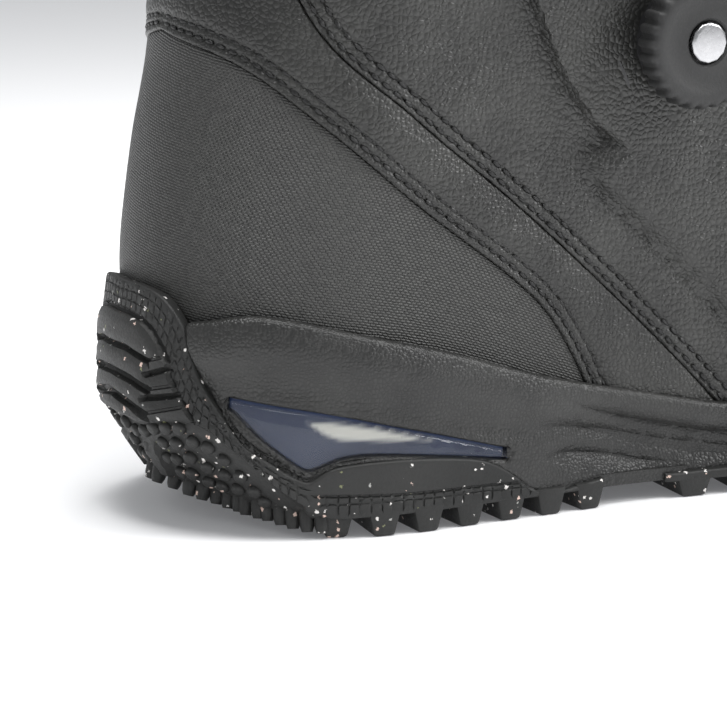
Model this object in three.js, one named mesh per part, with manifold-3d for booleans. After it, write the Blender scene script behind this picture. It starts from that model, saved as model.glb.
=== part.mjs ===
// A soft snowboard boot for the right foot, as an assembly of separate pieces.
// Millimetres, +Z up, +X towards the toe, -Y is the outer (lateral) side.
// Lengths along the boot are drawn from the back of the heel, and the group at the end moves the
// origin to the middle of the sole's length, on the ground.
import * as THREE from "three";
import { mergeVertices } from "three/addons/utils/BufferGeometryUtils.js";
import Module from "manifold-3d";

const wasm = await Module();
wasm.setup();

// ---- driving dimensions -------------------------------------------------------------------
const soleLength = 305;
const heelWidth = 86;
const ballWidth = 112;
const cuffTop = 300; // height of the cuff's top line at the middle of the leg
const shaftWidth = 96; // width of the upper at the top of the cuff
const panelThickness = 2.6;
const counterThickness = 1.5;
const linerThickness = 5;
const footbedThickness = 4;
const boardThickness = 2.2;
const rubberThickness = 3;
const treadDepth = 4.6;
const heelLugCount = 7;
const heelLugPitch = 10.6;
const foreLugPitch = 14;
const laceDiameter = 1.6;
const dialRadius = 15.5;
const dialHeight = 7; // height of the knob
const dialTravel = 3; // how far the knob pops out to free the spool
const gap = 0.35; // clearance left between two pieces that meet
const seamGap = 0.5; // slot between two panels along a seam

// ---- small curve helpers ------------------------------------------------------------------
// A smooth single-valued curve through [x, y] knots, held flat past its ends.
function curve(knots) {
  const slope = (i) => {
    const a = knots[Math.max(i - 1, 0)];
    const b = knots[Math.min(i + 1, knots.length - 1)];
    return (b[1] - a[1]) / (b[0] - a[0]);
  };
  return (x) => {
    if (x <= knots[0][0]) return knots[0][1];
    const last = knots.length - 1;
    if (x >= knots[last][0]) return knots[last][1];
    let i = 0;
    while (x > knots[i + 1][0]) i += 1;
    const [x0, y0] = knots[i];
    const [x1, y1] = knots[i + 1];
    const w = x1 - x0;
    const t = (x - x0) / w;
    const m0 = slope(i) * w;
    const m1 = slope(i + 1) * w;
    return (
      y0 * (2 * t ** 3 - 3 * t ** 2 + 1) +
      m0 * (t ** 3 - 2 * t ** 2 + t) +
      y1 * (3 * t ** 2 - 2 * t ** 3) +
      m1 * (t ** 3 - t ** 2)
    );
  };
}

const smooth = (a, b, x) => {
  const t = Math.min(Math.max((x - a) / (b - a), 0), 1);
  return t * t * (3 - 2 * t);
};

// Points along a smooth line through [x, z] knots, for outlines seen from the side.
function line(knots, divisions = 3) {
  const spline = new THREE.SplineCurve(knots.map(([x, z]) => new THREE.Vector2(x, z)));
  return spline.getPoints(divisions * (knots.length - 1)).map((p) => [p.x, p.y]);
}

// Points of a single-valued curve between two places.
function run(f, from, to, steps) {
  return Array.from({ length: steps + 1 }, (_, i) => {
    const x = from + ((to - from) * i) / steps;
    return [x, f(x)];
  });
}

// A line moved sideways by d, to its left as it runs.
function aside(points, d) {
  return points.map((p, i) => {
    const a = points[Math.max(i - 1, 0)];
    const b = points[Math.min(i + 1, points.length - 1)];
    const w = Math.hypot(b[0] - a[0], b[1] - a[1]);
    return [p[0] - ((b[1] - a[1]) / w) * d, p[1] + ((b[0] - a[0]) / w) * d];
  });
}

// ---- solids -------------------------------------------------------------------------------
function solid(geometry) {
  const bare = geometry.index ? geometry.toNonIndexed() : geometry.clone();
  for (const name of Object.keys(bare.attributes)) {
    if (name !== "position") bare.deleteAttribute(name);
  }
  const merged = mergeVertices(bare, 1e-3);
  return new wasm.Manifold(
    new wasm.Mesh({
      numProp: 3,
      vertProperties: new Float32Array(merged.attributes.position.array),
      triVerts: new Uint32Array(merged.index.array),
    }),
  );
}

function geometryOf(made) {
  const mesh = made.getMesh();
  const position = new Float32Array(mesh.numVert * 3);
  for (let i = 0; i < mesh.numVert; i += 1) {
    position.set(mesh.vertProperties.subarray(i * mesh.numProp, i * mesh.numProp + 3), i * 3);
  }
  const g = new THREE.BufferGeometry();
  g.setAttribute("position", new THREE.BufferAttribute(position, 3));
  g.setIndex(new THREE.BufferAttribute(new Uint32Array(mesh.triVerts), 1));
  return g;
}

const sumOf = (solids) => solids.reduce((a, b) => a.add(b));

// The largest separate body of a solid, so that a cut leaves no crumbs.
const mainBody = (made) => made.decompose().reduce((a, b) => (a.volume() > b.volume() ? a : b));

// An outline in the side view, run across the boot from y0 to y1.
function slab(points, y0 = -90, y1 = 90) {
  const shape = new THREE.Shape(points.map(([x, z]) => new THREE.Vector2(x, z)));
  const g = new THREE.ExtrudeGeometry(shape, { depth: y1 - y0, bevelEnabled: false });
  g.rotateX(Math.PI / 2);
  g.translate(0, y1, 0);
  return solid(g);
}

// An outline in the front view, run along the boot from x0 to x1.
function frontSlab(points, x0, x1) {
  const shape = new THREE.Shape(points.map(([y, z]) => new THREE.Vector2(y, z)));
  const g = new THREE.ExtrudeGeometry(shape, { depth: x1 - x0, bevelEnabled: false });
  g.rotateX(Math.PI / 2);
  g.rotateZ(Math.PI / 2);
  g.translate(x0, 0, 0);
  return solid(g);
}

function block(x0, x1, y0, y1, z0, z1) {
  const g = new THREE.BoxGeometry(x1 - x0, y1 - y0, z1 - z0);
  g.translate((x0 + x1) / 2, (y0 + y1) / 2, (z0 + z1) / 2);
  return solid(g);
}

// The narrow slot along a seam line.
const slot = (points, width = seamGap) =>
  slab([...aside(points, width / 2), ...aside(points, -width / 2).reverse()]);

// A round bar from a0 to a1 along an axis through a point.
function bar(radius, a0, a1, sides = 24, topRadius = radius) {
  const g = new THREE.CylinderGeometry(topRadius, radius, a1 - a0, sides);
  g.rotateX(Math.PI / 2);
  g.translate(0, 0, (a0 + a1) / 2);
  return g;
}

// A closed skin from rings of points: each ring is a list of [x, y, z], and both ends are
// closed by strips that join the two sides of the ring.
function skin(rings) {
  const n = rings[0].length;
  const half = n / 2;
  const position = rings.flat(2);
  const index = [];
  for (let i = 0; i + 1 < rings.length; i += 1) {
    for (let j = 0; j < n; j += 1) {
      const a = i * n + j;
      const b = i * n + ((j + 1) % n);
      index.push(a, b, b + n, a, b + n, a + n);
    }
  }
  const close = (base, up) => {
    for (let j = 0; j < half; j += 1) {
      const a = base + j;
      const b = base + j + 1;
      const c = base + ((n - j) % n);
      const d = base + ((n - j - 1) % n);
      const quad = [];
      if (c !== a) quad.push([a, b, c]);
      if (b !== d) quad.push([b, d, c]);
      for (const t of quad) index.push(...(up ? t : [t[0], t[2], t[1]]));
    }
  };
  close(0, false);
  close((rings.length - 1) * n, true);
  const g = new THREE.BufferGeometry();
  g.setAttribute("position", new THREE.Float32BufferAttribute(position, 3));
  g.setIndex(index);
  let made = solid(g);
  if (made.volume() < 0) {
    for (let i = 0; i < index.length; i += 3) {
      [index[i + 1], index[i + 2]] = [index[i + 2], index[i + 1]];
    }
    g.setIndex(index);
    made = solid(g);
  }
  return made;
}

// ---- the upper's form ---------------------------------------------------------------------
// The outer surface of the upper. Height h is measured above the foot line, which is the top of
// the midsole under the foot; the ring at each height runs from the back of the heel along the
// lateral side to the front and back along the medial side.
const toeEnd = soleLength - 7;
const foreShare = (x) => 100 + ((x - 100) * (soleLength - 105)) / 200; // stretches the forefoot

const footLine = curve([
  [0, 27],
  [60, 26],
  [foreShare(108), 17],
  [foreShare(140), 14],
  [foreShare(215), 13],
  [foreShare(260), 16],
  [toeEnd, 24],
]);

const backProfile = curve([
  [0, 14.5],
  [8, 8],
  [18, 5.8],
  [28, 5.2],
  [36, 5.6],
  [44, 6.6],
  [52, 7.8],
  [60, 9.2],
  [68, 11],
  [76, 12.6],
  [98, 15.5],
  [123, 16.5],
  [153, 15.5],
  [188, 12.5],
  [223, 10],
  [258, 10],
  [300, 12.5],
]);

const frontKnots = [
  [0, 290],
  [10, 296],
  [20, 298],
  [30, 297],
  [41, 293],
  [50, 286],
  [57, 276],
  [62, 264],
  [66, 250],
  [69.5, 235],
  [74, 222],
  [80, 208],
  [88, 195],
  [98, 182],
  [109, 170],
  [121, 159],
  [133, 150],
  [146, 143.5],
  [160, 139],
  [175, 136.5],
  [200, 135],
  [230, 136],
  [260, 139],
  [300, 144],
].map(([h, x]) => [h, x > 100 ? foreShare(x) : x]);
const frontProfile = curve(frontKnots);

const footHalfWidth = curve([
  [0, heelWidth / 2 - 6],
  [20, heelWidth / 2 - 4.5],
  [45, heelWidth / 2 - 3.4],
  [80, heelWidth / 2 - 4],
  [foreShare(115), heelWidth / 2 - 5],
  [foreShare(145), heelWidth / 2 - 3],
  [foreShare(180), ballWidth / 2 - 7.5],
  [foreShare(215), ballWidth / 2 - 3.5],
  [foreShare(250), ballWidth / 2 - 5],
  [toeEnd, ballWidth / 2 - 13],
]);

const shaftHalfWidth = curve([
  [40, heelWidth / 2 - 3.5],
  [75, heelWidth / 2 - 3],
  [110, heelWidth / 2 - 1.5],
  [150, shaftWidth / 2 - 5],
  [200, shaftWidth / 2 - 2.5],
  [250, shaftWidth / 2 - 0.5],
  [300, shaftWidth / 2],
]);

const heelRound = 44; // how far forward the heel's rounding reaches
const frontRound = 50; // how far in from the front line the rounding of the top reaches

// Shortest way from a point in the side view to the front line.
function frontDistance(x, h) {
  let best = Infinity;
  for (let i = 0; i + 1 < frontKnots.length; i += 1) {
    const [h0, x0] = frontKnots[i];
    const [h1, x1] = frontKnots[i + 1];
    const dx = x1 - x0;
    const dh = h1 - h0;
    const t = Math.min(Math.max(((x - x0) * dx + (h - h0) * dh) / (dx * dx + dh * dh), 0), 1);
    best = Math.min(best, Math.hypot(x - x0 - t * dx, h - h0 - t * dh));
  }
  return best;
}

const rounded = (share, power) =>
  (1 - (1 - Math.min(Math.max(share, 0), 1)) ** power) ** (1 / power);

function halfWidth(x, h, back, front) {
  const side = THREE.MathUtils.lerp(footHalfWidth(x), shaftHalfWidth(h), smooth(40, 115, h));
  const under = 1 - 0.12 * (1 - THREE.MathUtils.clamp(h / 9, 0, 1)) ** 2;
  const near = Math.min(frontDistance(x, h), front - x < 1e-6 ? 0 : Infinity);
  return side * under * rounded((x - back) / heelRound, 2.15) * rounded(near / frontRound, 2.1);
}

// The point at height h and ring angle t (0 at the back, PI at the front, lateral side between).
function formPoint(h, t) {
  const back = backProfile(h);
  const front = frontProfile(h);
  const x = back + ((front - back) * (1 - Math.cos(t))) / 2;
  const w = halfWidth(x, h, back, front);
  return new THREE.Vector3(x, t < Math.PI ? -w : w, footLine(x) + h);
}

function formNormal(h, t) {
  const dt = 0.03;
  const dh = 1.2;
  const turn = (v) => (v + 2 * Math.PI) % (2 * Math.PI);
  const along = formPoint(h, turn(t + dt)).sub(formPoint(h, turn(t - dt)));
  const up = formPoint(h + dh, t).sub(formPoint(h - dh, t));
  if (h < 4) up.set(0, 0, 1);
  const n = along.cross(up).normalize();
  const inside = formPoint(h, t).sub(new THREE.Vector3(80, 0, formPoint(h, t).z));
  if (n.dot(inside) < 0 && Math.abs(n.z) < 0.7) n.negate();
  if (Math.abs(n.z) >= 0.7 && n.z < 0) n.negate();
  return n;
}

// A point d outside the form.
const onForm = (h, t, d = 0) => formPoint(h, t).addScaledVector(formNormal(h, t), d);

// The ring angle at which the front of the ring at height h is y to one side.
function frontAngle(h, y) {
  let low = Math.PI / 2;
  let high = Math.PI;
  for (let i = 0; i < 30; i += 1) {
    const mid = (low + high) / 2;
    if (Math.abs(formPoint(h, mid).y) > Math.abs(y)) low = mid;
    else high = mid;
  }
  return y <= 0 ? low : 2 * Math.PI - low;
}

// The ring angle at which the side of the ring at height h is x forward.
function sideAngle(h, x) {
  const back = backProfile(h);
  const front = frontProfile(h);
  return Math.acos(THREE.MathUtils.clamp(1 - (2 * (x - back)) / (front - back), -1, 1));
}

const footHeights = [0, 9, 24, 43, 55, 62, 67.5, 75, 87, 103, 124, 150];
const shaftHeights = [183, 222, 262];
const formHeights = [...footHeights, ...shaftHeights];
const formTop = 300;

// Everything above the foot line moved up by lift.
const aboveFoot = (lift) =>
  slab([
    ...run((x) => footLine(x) + lift, -20, soleLength + 10, 16),
    [soleLength + 10, 420],
    [-20, 420],
  ]);

// The form as a solid moved out by d (in if negative), from the foot line raised by lift up to
// height top.
function form(d, lift = 0, top = formTop, sides = 22) {
  const between = formHeights.filter((h) => h < top - 1);
  const rings = [-8, ...between, top].map((h) =>
    Array.from({ length: sides }, (_, j) => onForm(h, (2 * Math.PI * j) / sides, d).toArray()),
  );
  return skin(rings).intersect(aboveFoot(lift));
}

// ---- the sole's form ----------------------------------------------------------------------
const outlineKnots = [
  [1.4, 0],
  [6, -20],
  [20, -heelWidth / 2 + 8.5],
  [45, -heelWidth / 2],
  [80, -heelWidth / 2 + 0.3],
  [foreShare(115), -heelWidth / 2 + 2],
  [foreShare(145), -heelWidth / 2 - 0.5],
  [foreShare(180), -ballWidth / 2 + 4.5],
  [foreShare(215), -ballWidth / 2 - 0.5],
  [foreShare(250), -ballWidth / 2 + 2.5],
  [foreShare(280), -ballWidth / 2 + 15],
  [foreShare(297), -ballWidth / 2 + 36],
  [soleLength - 2, 4],
  [foreShare(299), 26],
  [foreShare(285), ballWidth / 2 - 13],
  [foreShare(255), ballWidth / 2 - 2.5],
  [foreShare(215), ballWidth / 2 - 0.5],
  [foreShare(180), ballWidth / 2 - 8],
  [foreShare(145), heelWidth / 2 - 3],
  [foreShare(115), heelWidth / 2 - 4.5],
  [80, heelWidth / 2 - 2],
  [45, heelWidth / 2],
  [20, heelWidth / 2 - 8.5],
  [6, 20],
];
const outline = new THREE.CatmullRomCurve3(
  outlineKnots.map(([x, y]) => new THREE.Vector3(x, y, 0)),
  true,
);

// The studded chamfer round the back of the heel: its top edge and its steepness.
const bevelTop = curve([
  [-2, 26],
  [3, 26],
  [9, 24.5],
  [14, 21],
  [20, 16],
  [26, 12],
  [32, 8.5],
  [40, 5],
]);
const bevelSlope = curve([
  [0, 0.35],
  [6, 0.42],
  [12, 0.49],
  [20, 0.56],
  [30, 0.56],
  [44, 0],
]);
// How far the sole's wall leans in at height z.
const wallLean = (x, z) =>
  0.0022 * (z - 30) ** 2 * (z > 30 ? 1 + 0.7 * (1 - smooth(0, 30, x)) : 0.5) +
  bevelSlope(x) * Math.max(bevelTop(x) - z, 0) ** 1.15 +
  0.25 * smooth(soleLength - 45, soleLength - 10, x) * Math.max(z - 20, 0);

// The sole's outline at height z, moved in by d.
function outlineRing(z, d, count = 36) {
  return Array.from({ length: count }, (_, i) => {
    const p = outline.getPoint(i / count);
    const t = outline.getTangent(i / count);
    const move = d + wallLean(p.x, z);
    return [p.x - t.y * move, p.y + t.x * move, z];
  });
}

function wall(d, z0, z1) {
  const heights = [8, 13, 18, 25, 36, 47].filter((z) => z > z0 + 1 && z < z1 - 1);
  return skin([z0, ...heights, z1].map((z) => outlineRing(z, d)));
}

// ---- lines of the side view ---------------------------------------------------------------
const midsoleTop = curve([
  [-8, 47],
  [8, 47.4],
  [19, 49.5],
  [29, 48.3],
  [40, 45.7],
  [63, 40],
  [89, 32],
  [foreShare(116), 25.7],
  [foreShare(137), 21.5],
  [foreShare(165), 19.8],
  [foreShare(200), 20],
  [foreShare(235), 23],
  [foreShare(262), 29],
  [foreShare(285), 38],
  [soleLength + 5, 44],
]);

const archBottom = 4.2;
const heelFront = 104.3; // front end of the heel outsole
const foreStart = foreShare(121); // back end of the forefoot outsole

const heelRubberEdge = line(
  [
    [-8, 56],
    [1.4, 56.4],
    [4.2, 54.2],
    [7, 48.5],
    [8.8, 42],
    [11, 34.5],
    [14.2, 26.5],
    [19, 20.2],
    [25, 15.8],
    [30.5, 13.4],
    [35.5, 15],
    [41, 16.8],
    [52, 17.1],
    [64, 16.2],
    [72.6, 14.6],
    [78, 11.9],
    [83, 8.3],
    [87.5, 5.6],
    [92.5, 5.2],
    [98, 6.1],
    [heelFront, 6.9],
  ],
  2,
);

const toeSpring = curve([
  [foreShare(240), 0],
  [foreShare(262), 2],
  [foreShare(282), 7],
  [soleLength, 16],
]);

const foreRubberEdge = line(
  [
    [foreStart, 6],
    [foreShare(150), 6.6],
    [foreShare(190), 7.6],
    [foreShare(225), 9.5],
    [foreShare(250), 14],
    [foreShare(270), 23],
    [foreShare(285), 33],
    [foreShare(296), 40],
    [soleLength + 8, 43],
  ],
  3,
);

// The clear window in the heel, a leaf with its point at the back.
const windowTop = curve([
  [15.6, 31],
  [37.4, 26.8],
  [60, 21.2],
  [78.2, 16.2],
]);
const windowLow = curve([
  [15.6, 29.8],
  [20.7, 23.7],
  [26.7, 18.5],
  [30.6, 15.9],
  [34.1, 17],
  [38.5, 18.5],
  [46.4, 18.7],
  [61, 17.1],
  [78.2, 14.6],
]);
const windowOutline = (grow) => [
  ...run((x) => windowTop(x) + 1.2 * grow, 15.6 - grow, 78.2 + grow, 6),
  ...run((x) => windowLow(x) - 1.6 * grow, 15.6 - grow, 78.2 + grow, 12).reverse(),
];

// Seams of the upper.
const seamOne = line([
  [106, 14],
  [99.5, 31],
  [91, 45],
  [83, 53],
  [57, 72.6],
  [34.5, 91.6],
  [20, 104],
  [-12, 122],
]);
const seamTwo = line([
  [foreShare(146), 9],
  [foreShare(132.6), 24.5],
  [foreShare(109.5), 47],
  [82, 71],
  [57, 91],
  [36, 110],
  [24, 140],
]);
const seamThree = line([
  [foreShare(186), 8],
  [foreShare(190), 30],
  [foreShare(194), 60],
  [foreShare(201), 84],
  [foreShare(214), 100],
]);
const seamToe = line([
  [foreShare(228), 8],
  [foreShare(237), 30],
  [foreShare(241), 55],
  [foreShare(236), 75],
  [foreShare(226), 96],
]);

const anklePivot = [62, 121];
const flexAngle = 12; // degrees of forward flex
const flexGapFront = 150;
const lowerFlexLine = [
  [-20, 127],
  [30, 122],
  [anklePivot[0], anklePivot[1] - 0.4],
  [foreShare(115), 127],
  [foreShare(flexGapFront + 40), 139],
];
const upperFlexLine = [
  [-20, 127.8],
  [30, 122.8],
  [anklePivot[0], anklePivot[1] + 0.4],
  [foreShare(115), anklePivot[1] + 24],
  [foreShare(flexGapFront + 40), anklePivot[1] + 62],
];
const collarLine = [
  [-30, cuffTop - 10],
  [70, cuffTop],
  [190, cuffTop + 12],
];

const below = (points, floor = -20) => [
  ...points,
  [points[points.length - 1][0], floor],
  [points[0][0], floor],
];
const above = (points, top = 400) => below(points, top);
const shifted = (points, dz) => points.map(([x, z]) => [x, z + dz]);

// The throat: the opening down the front that the tongue fills, seen from the front.
const throatFoot = 99; // height of its lower end
function throat(extra = 0, from = throatFoot, to = 400) {
  const half = (z) => 20 + 11 * smooth(throatFoot, cuffTop, z) + extra;
  const steps = [0, 0.15, 0.4, 0.7, 1].map((s) => from + (to - from) * s);
  return [
    ...steps.map((z) => [half(z), z]),
    ...steps.reverse().map((z) => [-half(z), z]),
  ];
}
const throatCut = frontSlab(throat(), foreShare(100), soleLength + 60);

// ---- assembly -----------------------------------------------------------------------------
const materials = {
  rubber: { color: 0x2c2d2c, roughness: 0.8, metalness: 0 },
  foam: { color: 0x333433, roughness: 0.75, metalness: 0 },
  clear: { color: 0x7f90ad, roughness: 0.08, metalness: 0, transparent: true, opacity: 0.5 },
  gel: { color: 0x39466b, roughness: 0.3, metalness: 0 },
  orange: { color: 0xd8702a, roughness: 0.6, metalness: 0 },
  composite: { color: 0x1d1f22, roughness: 0.5, metalness: 0 },
  board: { color: 0x8a7a62, roughness: 0.9, metalness: 0 },
  weave: { color: 0x3a3b39, roughness: 0.7, metalness: 0 },
  leather: { color: 0x353634, roughness: 0.6, metalness: 0 },
  nylon: { color: 0x1b1c1d, roughness: 0.45, metalness: 0 },
  lace: { color: 0x2a2c30, roughness: 0.4, metalness: 0.2 },
  liner: { color: 0x404244, roughness: 0.95, metalness: 0 },
  steel: { color: 0xa8abae, roughness: 0.3, metalness: 1 },
};
const boot = new THREE.Group();

function place(name, finish, made, parent = boot) {
  const mesh = new THREE.Mesh(
    made.isBufferGeometry ? made : geometryOf(made),
    new THREE.MeshStandardMaterial(materials[finish]),
  );
  mesh.name = name;
  parent.add(mesh);
  return mesh;
}

// ---- sole unit ----------------------------------------------------------------------------
const proud = 0.8; // how far the rubber stands out of the midsole's wall
const midsoleWell = form(gap, 0, 118); // the hollow that the upper stands in

// A tread lug: a wedge, narrower at the ground, from y0 to y1.
const lug = (x, width, y0, y1, depth = treadDepth, lift = 0) =>
  slab(
    [
      [x - width * 0.42, depth + 1.2 + lift],
      [x - width * 0.25, lift],
      [x + width * 0.25, lift],
      [x + width * 0.42, depth + 1.2 + lift],
    ],
    y0,
    y1,
  );

// Round studs on the chamfer at the back of the heel.
function heelStuds() {
  const studs = [];
  for (const [z, count, reach] of [
    [20, 9, 0.05],
    [13, 13, 0.068],
    [6.5, 9, 0.088],
  ]) {
    for (let i = 0; i < count; i += 1) {
      const share = reach * ((2 * i) / (count - 1) - 1);
      const at = (share + 1) % 1;
      const p = outline.getPoint(at);
      const t = outline.getTangent(at);
      const lean = wallLean(p.x, z) - proud;
      const g = bar(2.3, -1, 2.1, 6, 1.5);
      const out = new THREE.Vector3(t.y, -t.x, -0.8).normalize();
      g.applyQuaternion(
        new THREE.Quaternion().setFromUnitVectors(new THREE.Vector3(0, 0, 1), out),
      );
      g.translate(p.x - t.y * lean, p.y + t.x * lean, z);
      studs.push(solid(g));
    }
  }
  return studs;
}

// The underside behind the tread, which rises to the back.
const bevelBase = [
  [-12, 21],
  [-2, 16],
  [8, 10.6],
  [18, 6.6],
  [27, treadDepth],
];

function heelOutsole() {
  const outer = wall(-proud, treadDepth, 58);
  const region = slab([...heelRubberEdge, [heelFront, -2], [-20, -2], [-20, 56]]);
  const core = wall(rubberThickness - proud, treadDepth + rubberThickness + 0.4, 62);
  const coreFloor = slab([
    ...shifted(bevelBase, rubberThickness + 0.4),
    [200, treadDepth + rubberThickness + 0.4],
    [200, 90],
    [-12, 90],
  ]);
  let shell = outer.intersect(region).add(sumOf(heelStuds()));
  shell = shell.subtract(core.intersect(coreFloor)).subtract(midsoleWell);
  shell = shell.subtract(slab([[-30, -5], ...bevelBase, [27, -5]]));
  const treads = [];
  for (let k = 0; k < heelLugCount; k += 1) {
    const x = 37 + k * heelLugPitch;
    treads.push(lug(x, 9.6, -60, -22), lug(x, 9.6, 22, 60));
    if (k % 2 === 0) treads.push(lug(x + 2, 12, -17, 17));
  }
  const footprint = wall(0.4, 0, treadDepth + 3);
  const region2 = block(0, heelFront, -70, 70, 0, treadDepth + 2);
  const tread = sumOf(treads).intersect(footprint).intersect(region2);
  const hole = solid(bar(plugRadius + gap, 0, treadDepth + 2, 20)).translate([plugX, 0, 0]);
  return mainBody(shell.add(tread).subtract(hole));
}

const plugX = 52.5;
const plugRadius = 8;
function heelPlug() {
  return solid(bar(plugRadius, treadDepth - 1.6, treadDepth + 1.6, 20)).translate([plugX, 0, 0]);
}

function forefootOutsole() {
  const outer = wall(-proud, 0, 52);
  const end = soleLength + 12;
  const bottom = (extra) => run((x) => treadDepth - 0.6 + extra + toeSpring(x), foreStart, end, 12);
  const region = slab([...bottom(0), ...foreRubberEdge.slice().reverse()]);
  const core = wall(rubberThickness - proud, 0, 60).intersect(
    slab([...bottom(2), [end, 70], [foreStart - 5, 70], [foreStart - 5, treadDepth + 1.4]]),
  );
  let shell = outer.intersect(region).subtract(core).subtract(midsoleWell);
  const treads = [];
  for (let x = soleLength / 2 - 24; x < soleLength - 20; x += foreLugPitch) {
    const lift = toeSpring(x);
    treads.push(lug(x, 12, -70, -24, treadDepth, lift), lug(x, 12, 24, 70, treadDepth, lift));
    treads.push(lug(x + 10, 13, -19, 19, treadDepth, toeSpring(x + 10)));
  }
  const footprint = wall(0.4, 0, 30);
  shell = shell.add(sumOf(treads).intersect(footprint).intersect(slab([
    [foreStart, -1],
    [end, -1],
    ...run((x) => treadDepth + 1 + toeSpring(x), foreStart, end, 8).reverse(),
  ])));
  return mainBody(shell);
}

const shankOutline = (grow) => [
  ...run((x) => footLine(x) - 0.6 + grow * 2, 58 - grow, foreShare(186) + grow, 10),
  ...run((x) => footLine(x) - 2.4 - grow, 58 - grow, foreShare(186) + grow, 10).reverse(),
];

const gelOutline = (grow) => {
  const top = run((x) => Math.min(footLine(x) - 3.2, 29 - 0.2 * (x - 16)) + grow, 24 - grow, 70 + grow, 8);
  return [...top, [70 + grow, 18 - grow], [44, 19.6 - grow], [31, 17.6 - grow], [24 - grow, 20.6 - grow]];
};

function midsole() {
  const top = run(midsoleTop, -8, soleLength + 4, 24);
  let made = wall(0, archBottom, 56).intersect(slab(below(top, 0)));
  // Where rubber covers the wall, the foam steps in behind it.
  const covered = (edge, extra) => slab(below(aside(edge, extra), -5));
  const heelEdge = [[-20, 56], ...heelRubberEdge];
  const sunk = wall(rubberThickness - proud + gap, 0, 60);
  const heelCover = covered(heelEdge, gap).intersect(block(-30, heelFront + gap, -90, 90, -5, 70));
  const foreCover = covered(foreRubberEdge, gap).intersect(
    block(foreStart - gap, soleLength + 20, -90, 90, -5, 70),
  );
  made = made.subtract(heelCover.subtract(sunk)).subtract(foreCover.subtract(sunk));
  const end = soleLength + 12;
  const floors = slab([
    [-20, -5],
    ...shifted(bevelBase, rubberThickness + 0.4 + gap).map(([x, z]) => [x, z]),
    [heelFront + gap, treadDepth + rubberThickness + 0.4 + gap],
    [heelFront + gap, archBottom],
    [foreStart - gap, archBottom],
    ...run((x) => treadDepth + 1.4 + gap + toeSpring(x), foreStart - gap, end, 12),
    [end, -5],
  ]);
  made = made.subtract(floors);
  made = made.subtract(midsoleWell);
  made = made.subtract(slab(shankOutline(gap), -15 - gap, 15 + gap));
  made = made.subtract(slab(windowOutline(gap)).subtract(wall(4, 0, 60)));
  return mainBody(made.subtract(slab(gelOutline(gap))));
}

function heelWindow(side) {
  const plate = wall(0.3, 0, 50).subtract(wall(3.6, 0, 50));
  const made = plate.intersect(slab(windowOutline(0), side < 0 ? -90 : 0, side < 0 ? 0 : 90));
  return mainBody(made.subtract(midsoleWell));
}

function gelCore() {
  return mainBody(slab(gelOutline(0)).intersect(wall(3.6 + gap, 0, 50)));
}

place("heel_outsole", "rubber", heelOutsole());
place("heel_plug", "orange", heelPlug());
place("forefoot_outsole", "rubber", forefootOutsole());
place("midsole", "foam", midsole());
place("heel_window_lateral", "clear", heelWindow(-1));
place("heel_window_medial", "clear", heelWindow(1));
place("heel_gel_core", "gel", gelCore());
place("shank", "composite", slab(shankOutline(0), -15, 15));

// ---- upper --------------------------------------------------------------------------------
const layer = form(0)
  .subtract(form(-panelThickness, -1, formTop + 1))
  .subtract(throatCut)
  .subtract(slot(seamOne))
  .subtract(slot(seamTwo))
  .subtract(slot(seamThree))
  .subtract(slot(seamToe));

const footSide = layer.subtract(slab(above(lowerFlexLine)));
const cuffSide = layer
  .subtract(slab(below(upperFlexLine)))
  .subtract(slab(above(collarLine)));

const farLeft = -40;
const behindOne = [...seamOne, [farLeft, 122], [farLeft, 0], [106, 0]];
const behindTwo = [...seamTwo, [farLeft, 140], [farLeft, 0], [foreShare(146), 0]];
const behindThree = [...seamThree, [foreShare(214), 200], [farLeft, 200], [farLeft, 0], [foreShare(186), 0]];
const behindToe = [...seamToe, [foreShare(226), 200], [farLeft, 200], [farLeft, 0], [foreShare(228), 0]];
const lateralHalf = block(-50, 400, -100, -0.2, -20, 400);
const medialHalf = block(-50, 400, 0.2, 100, -20, 400);

const heelPanel = mainBody(footSide.intersect(slab(behindOne)));
const strap = footSide.intersect(slab(behindTwo)).subtract(slab(behindOne));
const quarter = footSide.intersect(slab(behindThree)).subtract(slab(behindTwo));
const vamp = mainBody(footSide.intersect(slab(behindToe)).subtract(slab(behindThree)));
const toeCap = mainBody(footSide.subtract(slab(behindToe)));

place("heel_panel", "weave", heelPanel);
place("heel_strap", "leather", mainBody(strap));
place("quarter_lateral", "leather", mainBody(quarter.intersect(lateralHalf)));
place("quarter_medial", "leather", mainBody(quarter.intersect(medialHalf)));
place("vamp", "leather", vamp);
place("toe_cap", "leather", toeCap);

// The cuff: two side panels, a spine up the back and a padded collar.
const spineEdge = line([
  [44, 116],
  [40, 150],
  [34, 200],
  [32, 250],
  [34, cuffTop + 20],
]);
const collarDepth = 16;
const collarLow = shifted(collarLine, -collarDepth);
const cuffLayer = cuffSide.subtract(slot(spineEdge)).subtract(slot(collarLow));
const behindSpine = [...spineEdge, [farLeft, cuffTop + 20], [farLeft, 100], [44, 100]];
const cuffBody = cuffLayer.subtract(slab(above(collarLow)));
place("cuff_spine", "weave", mainBody(cuffBody.intersect(slab(behindSpine))));
const cuffSides = cuffBody.subtract(slab(behindSpine));
place("cuff_panel_lateral", "leather", mainBody(cuffSides.intersect(lateralHalf)));
place("cuff_panel_medial", "leather", mainBody(cuffSides.intersect(medialHalf)));
place(
  "cuff_collar",
  "liner",
  mainBody(cuffSide.subtract(slot(collarLow)).intersect(slab(above(collarLow)))),
);

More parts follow.
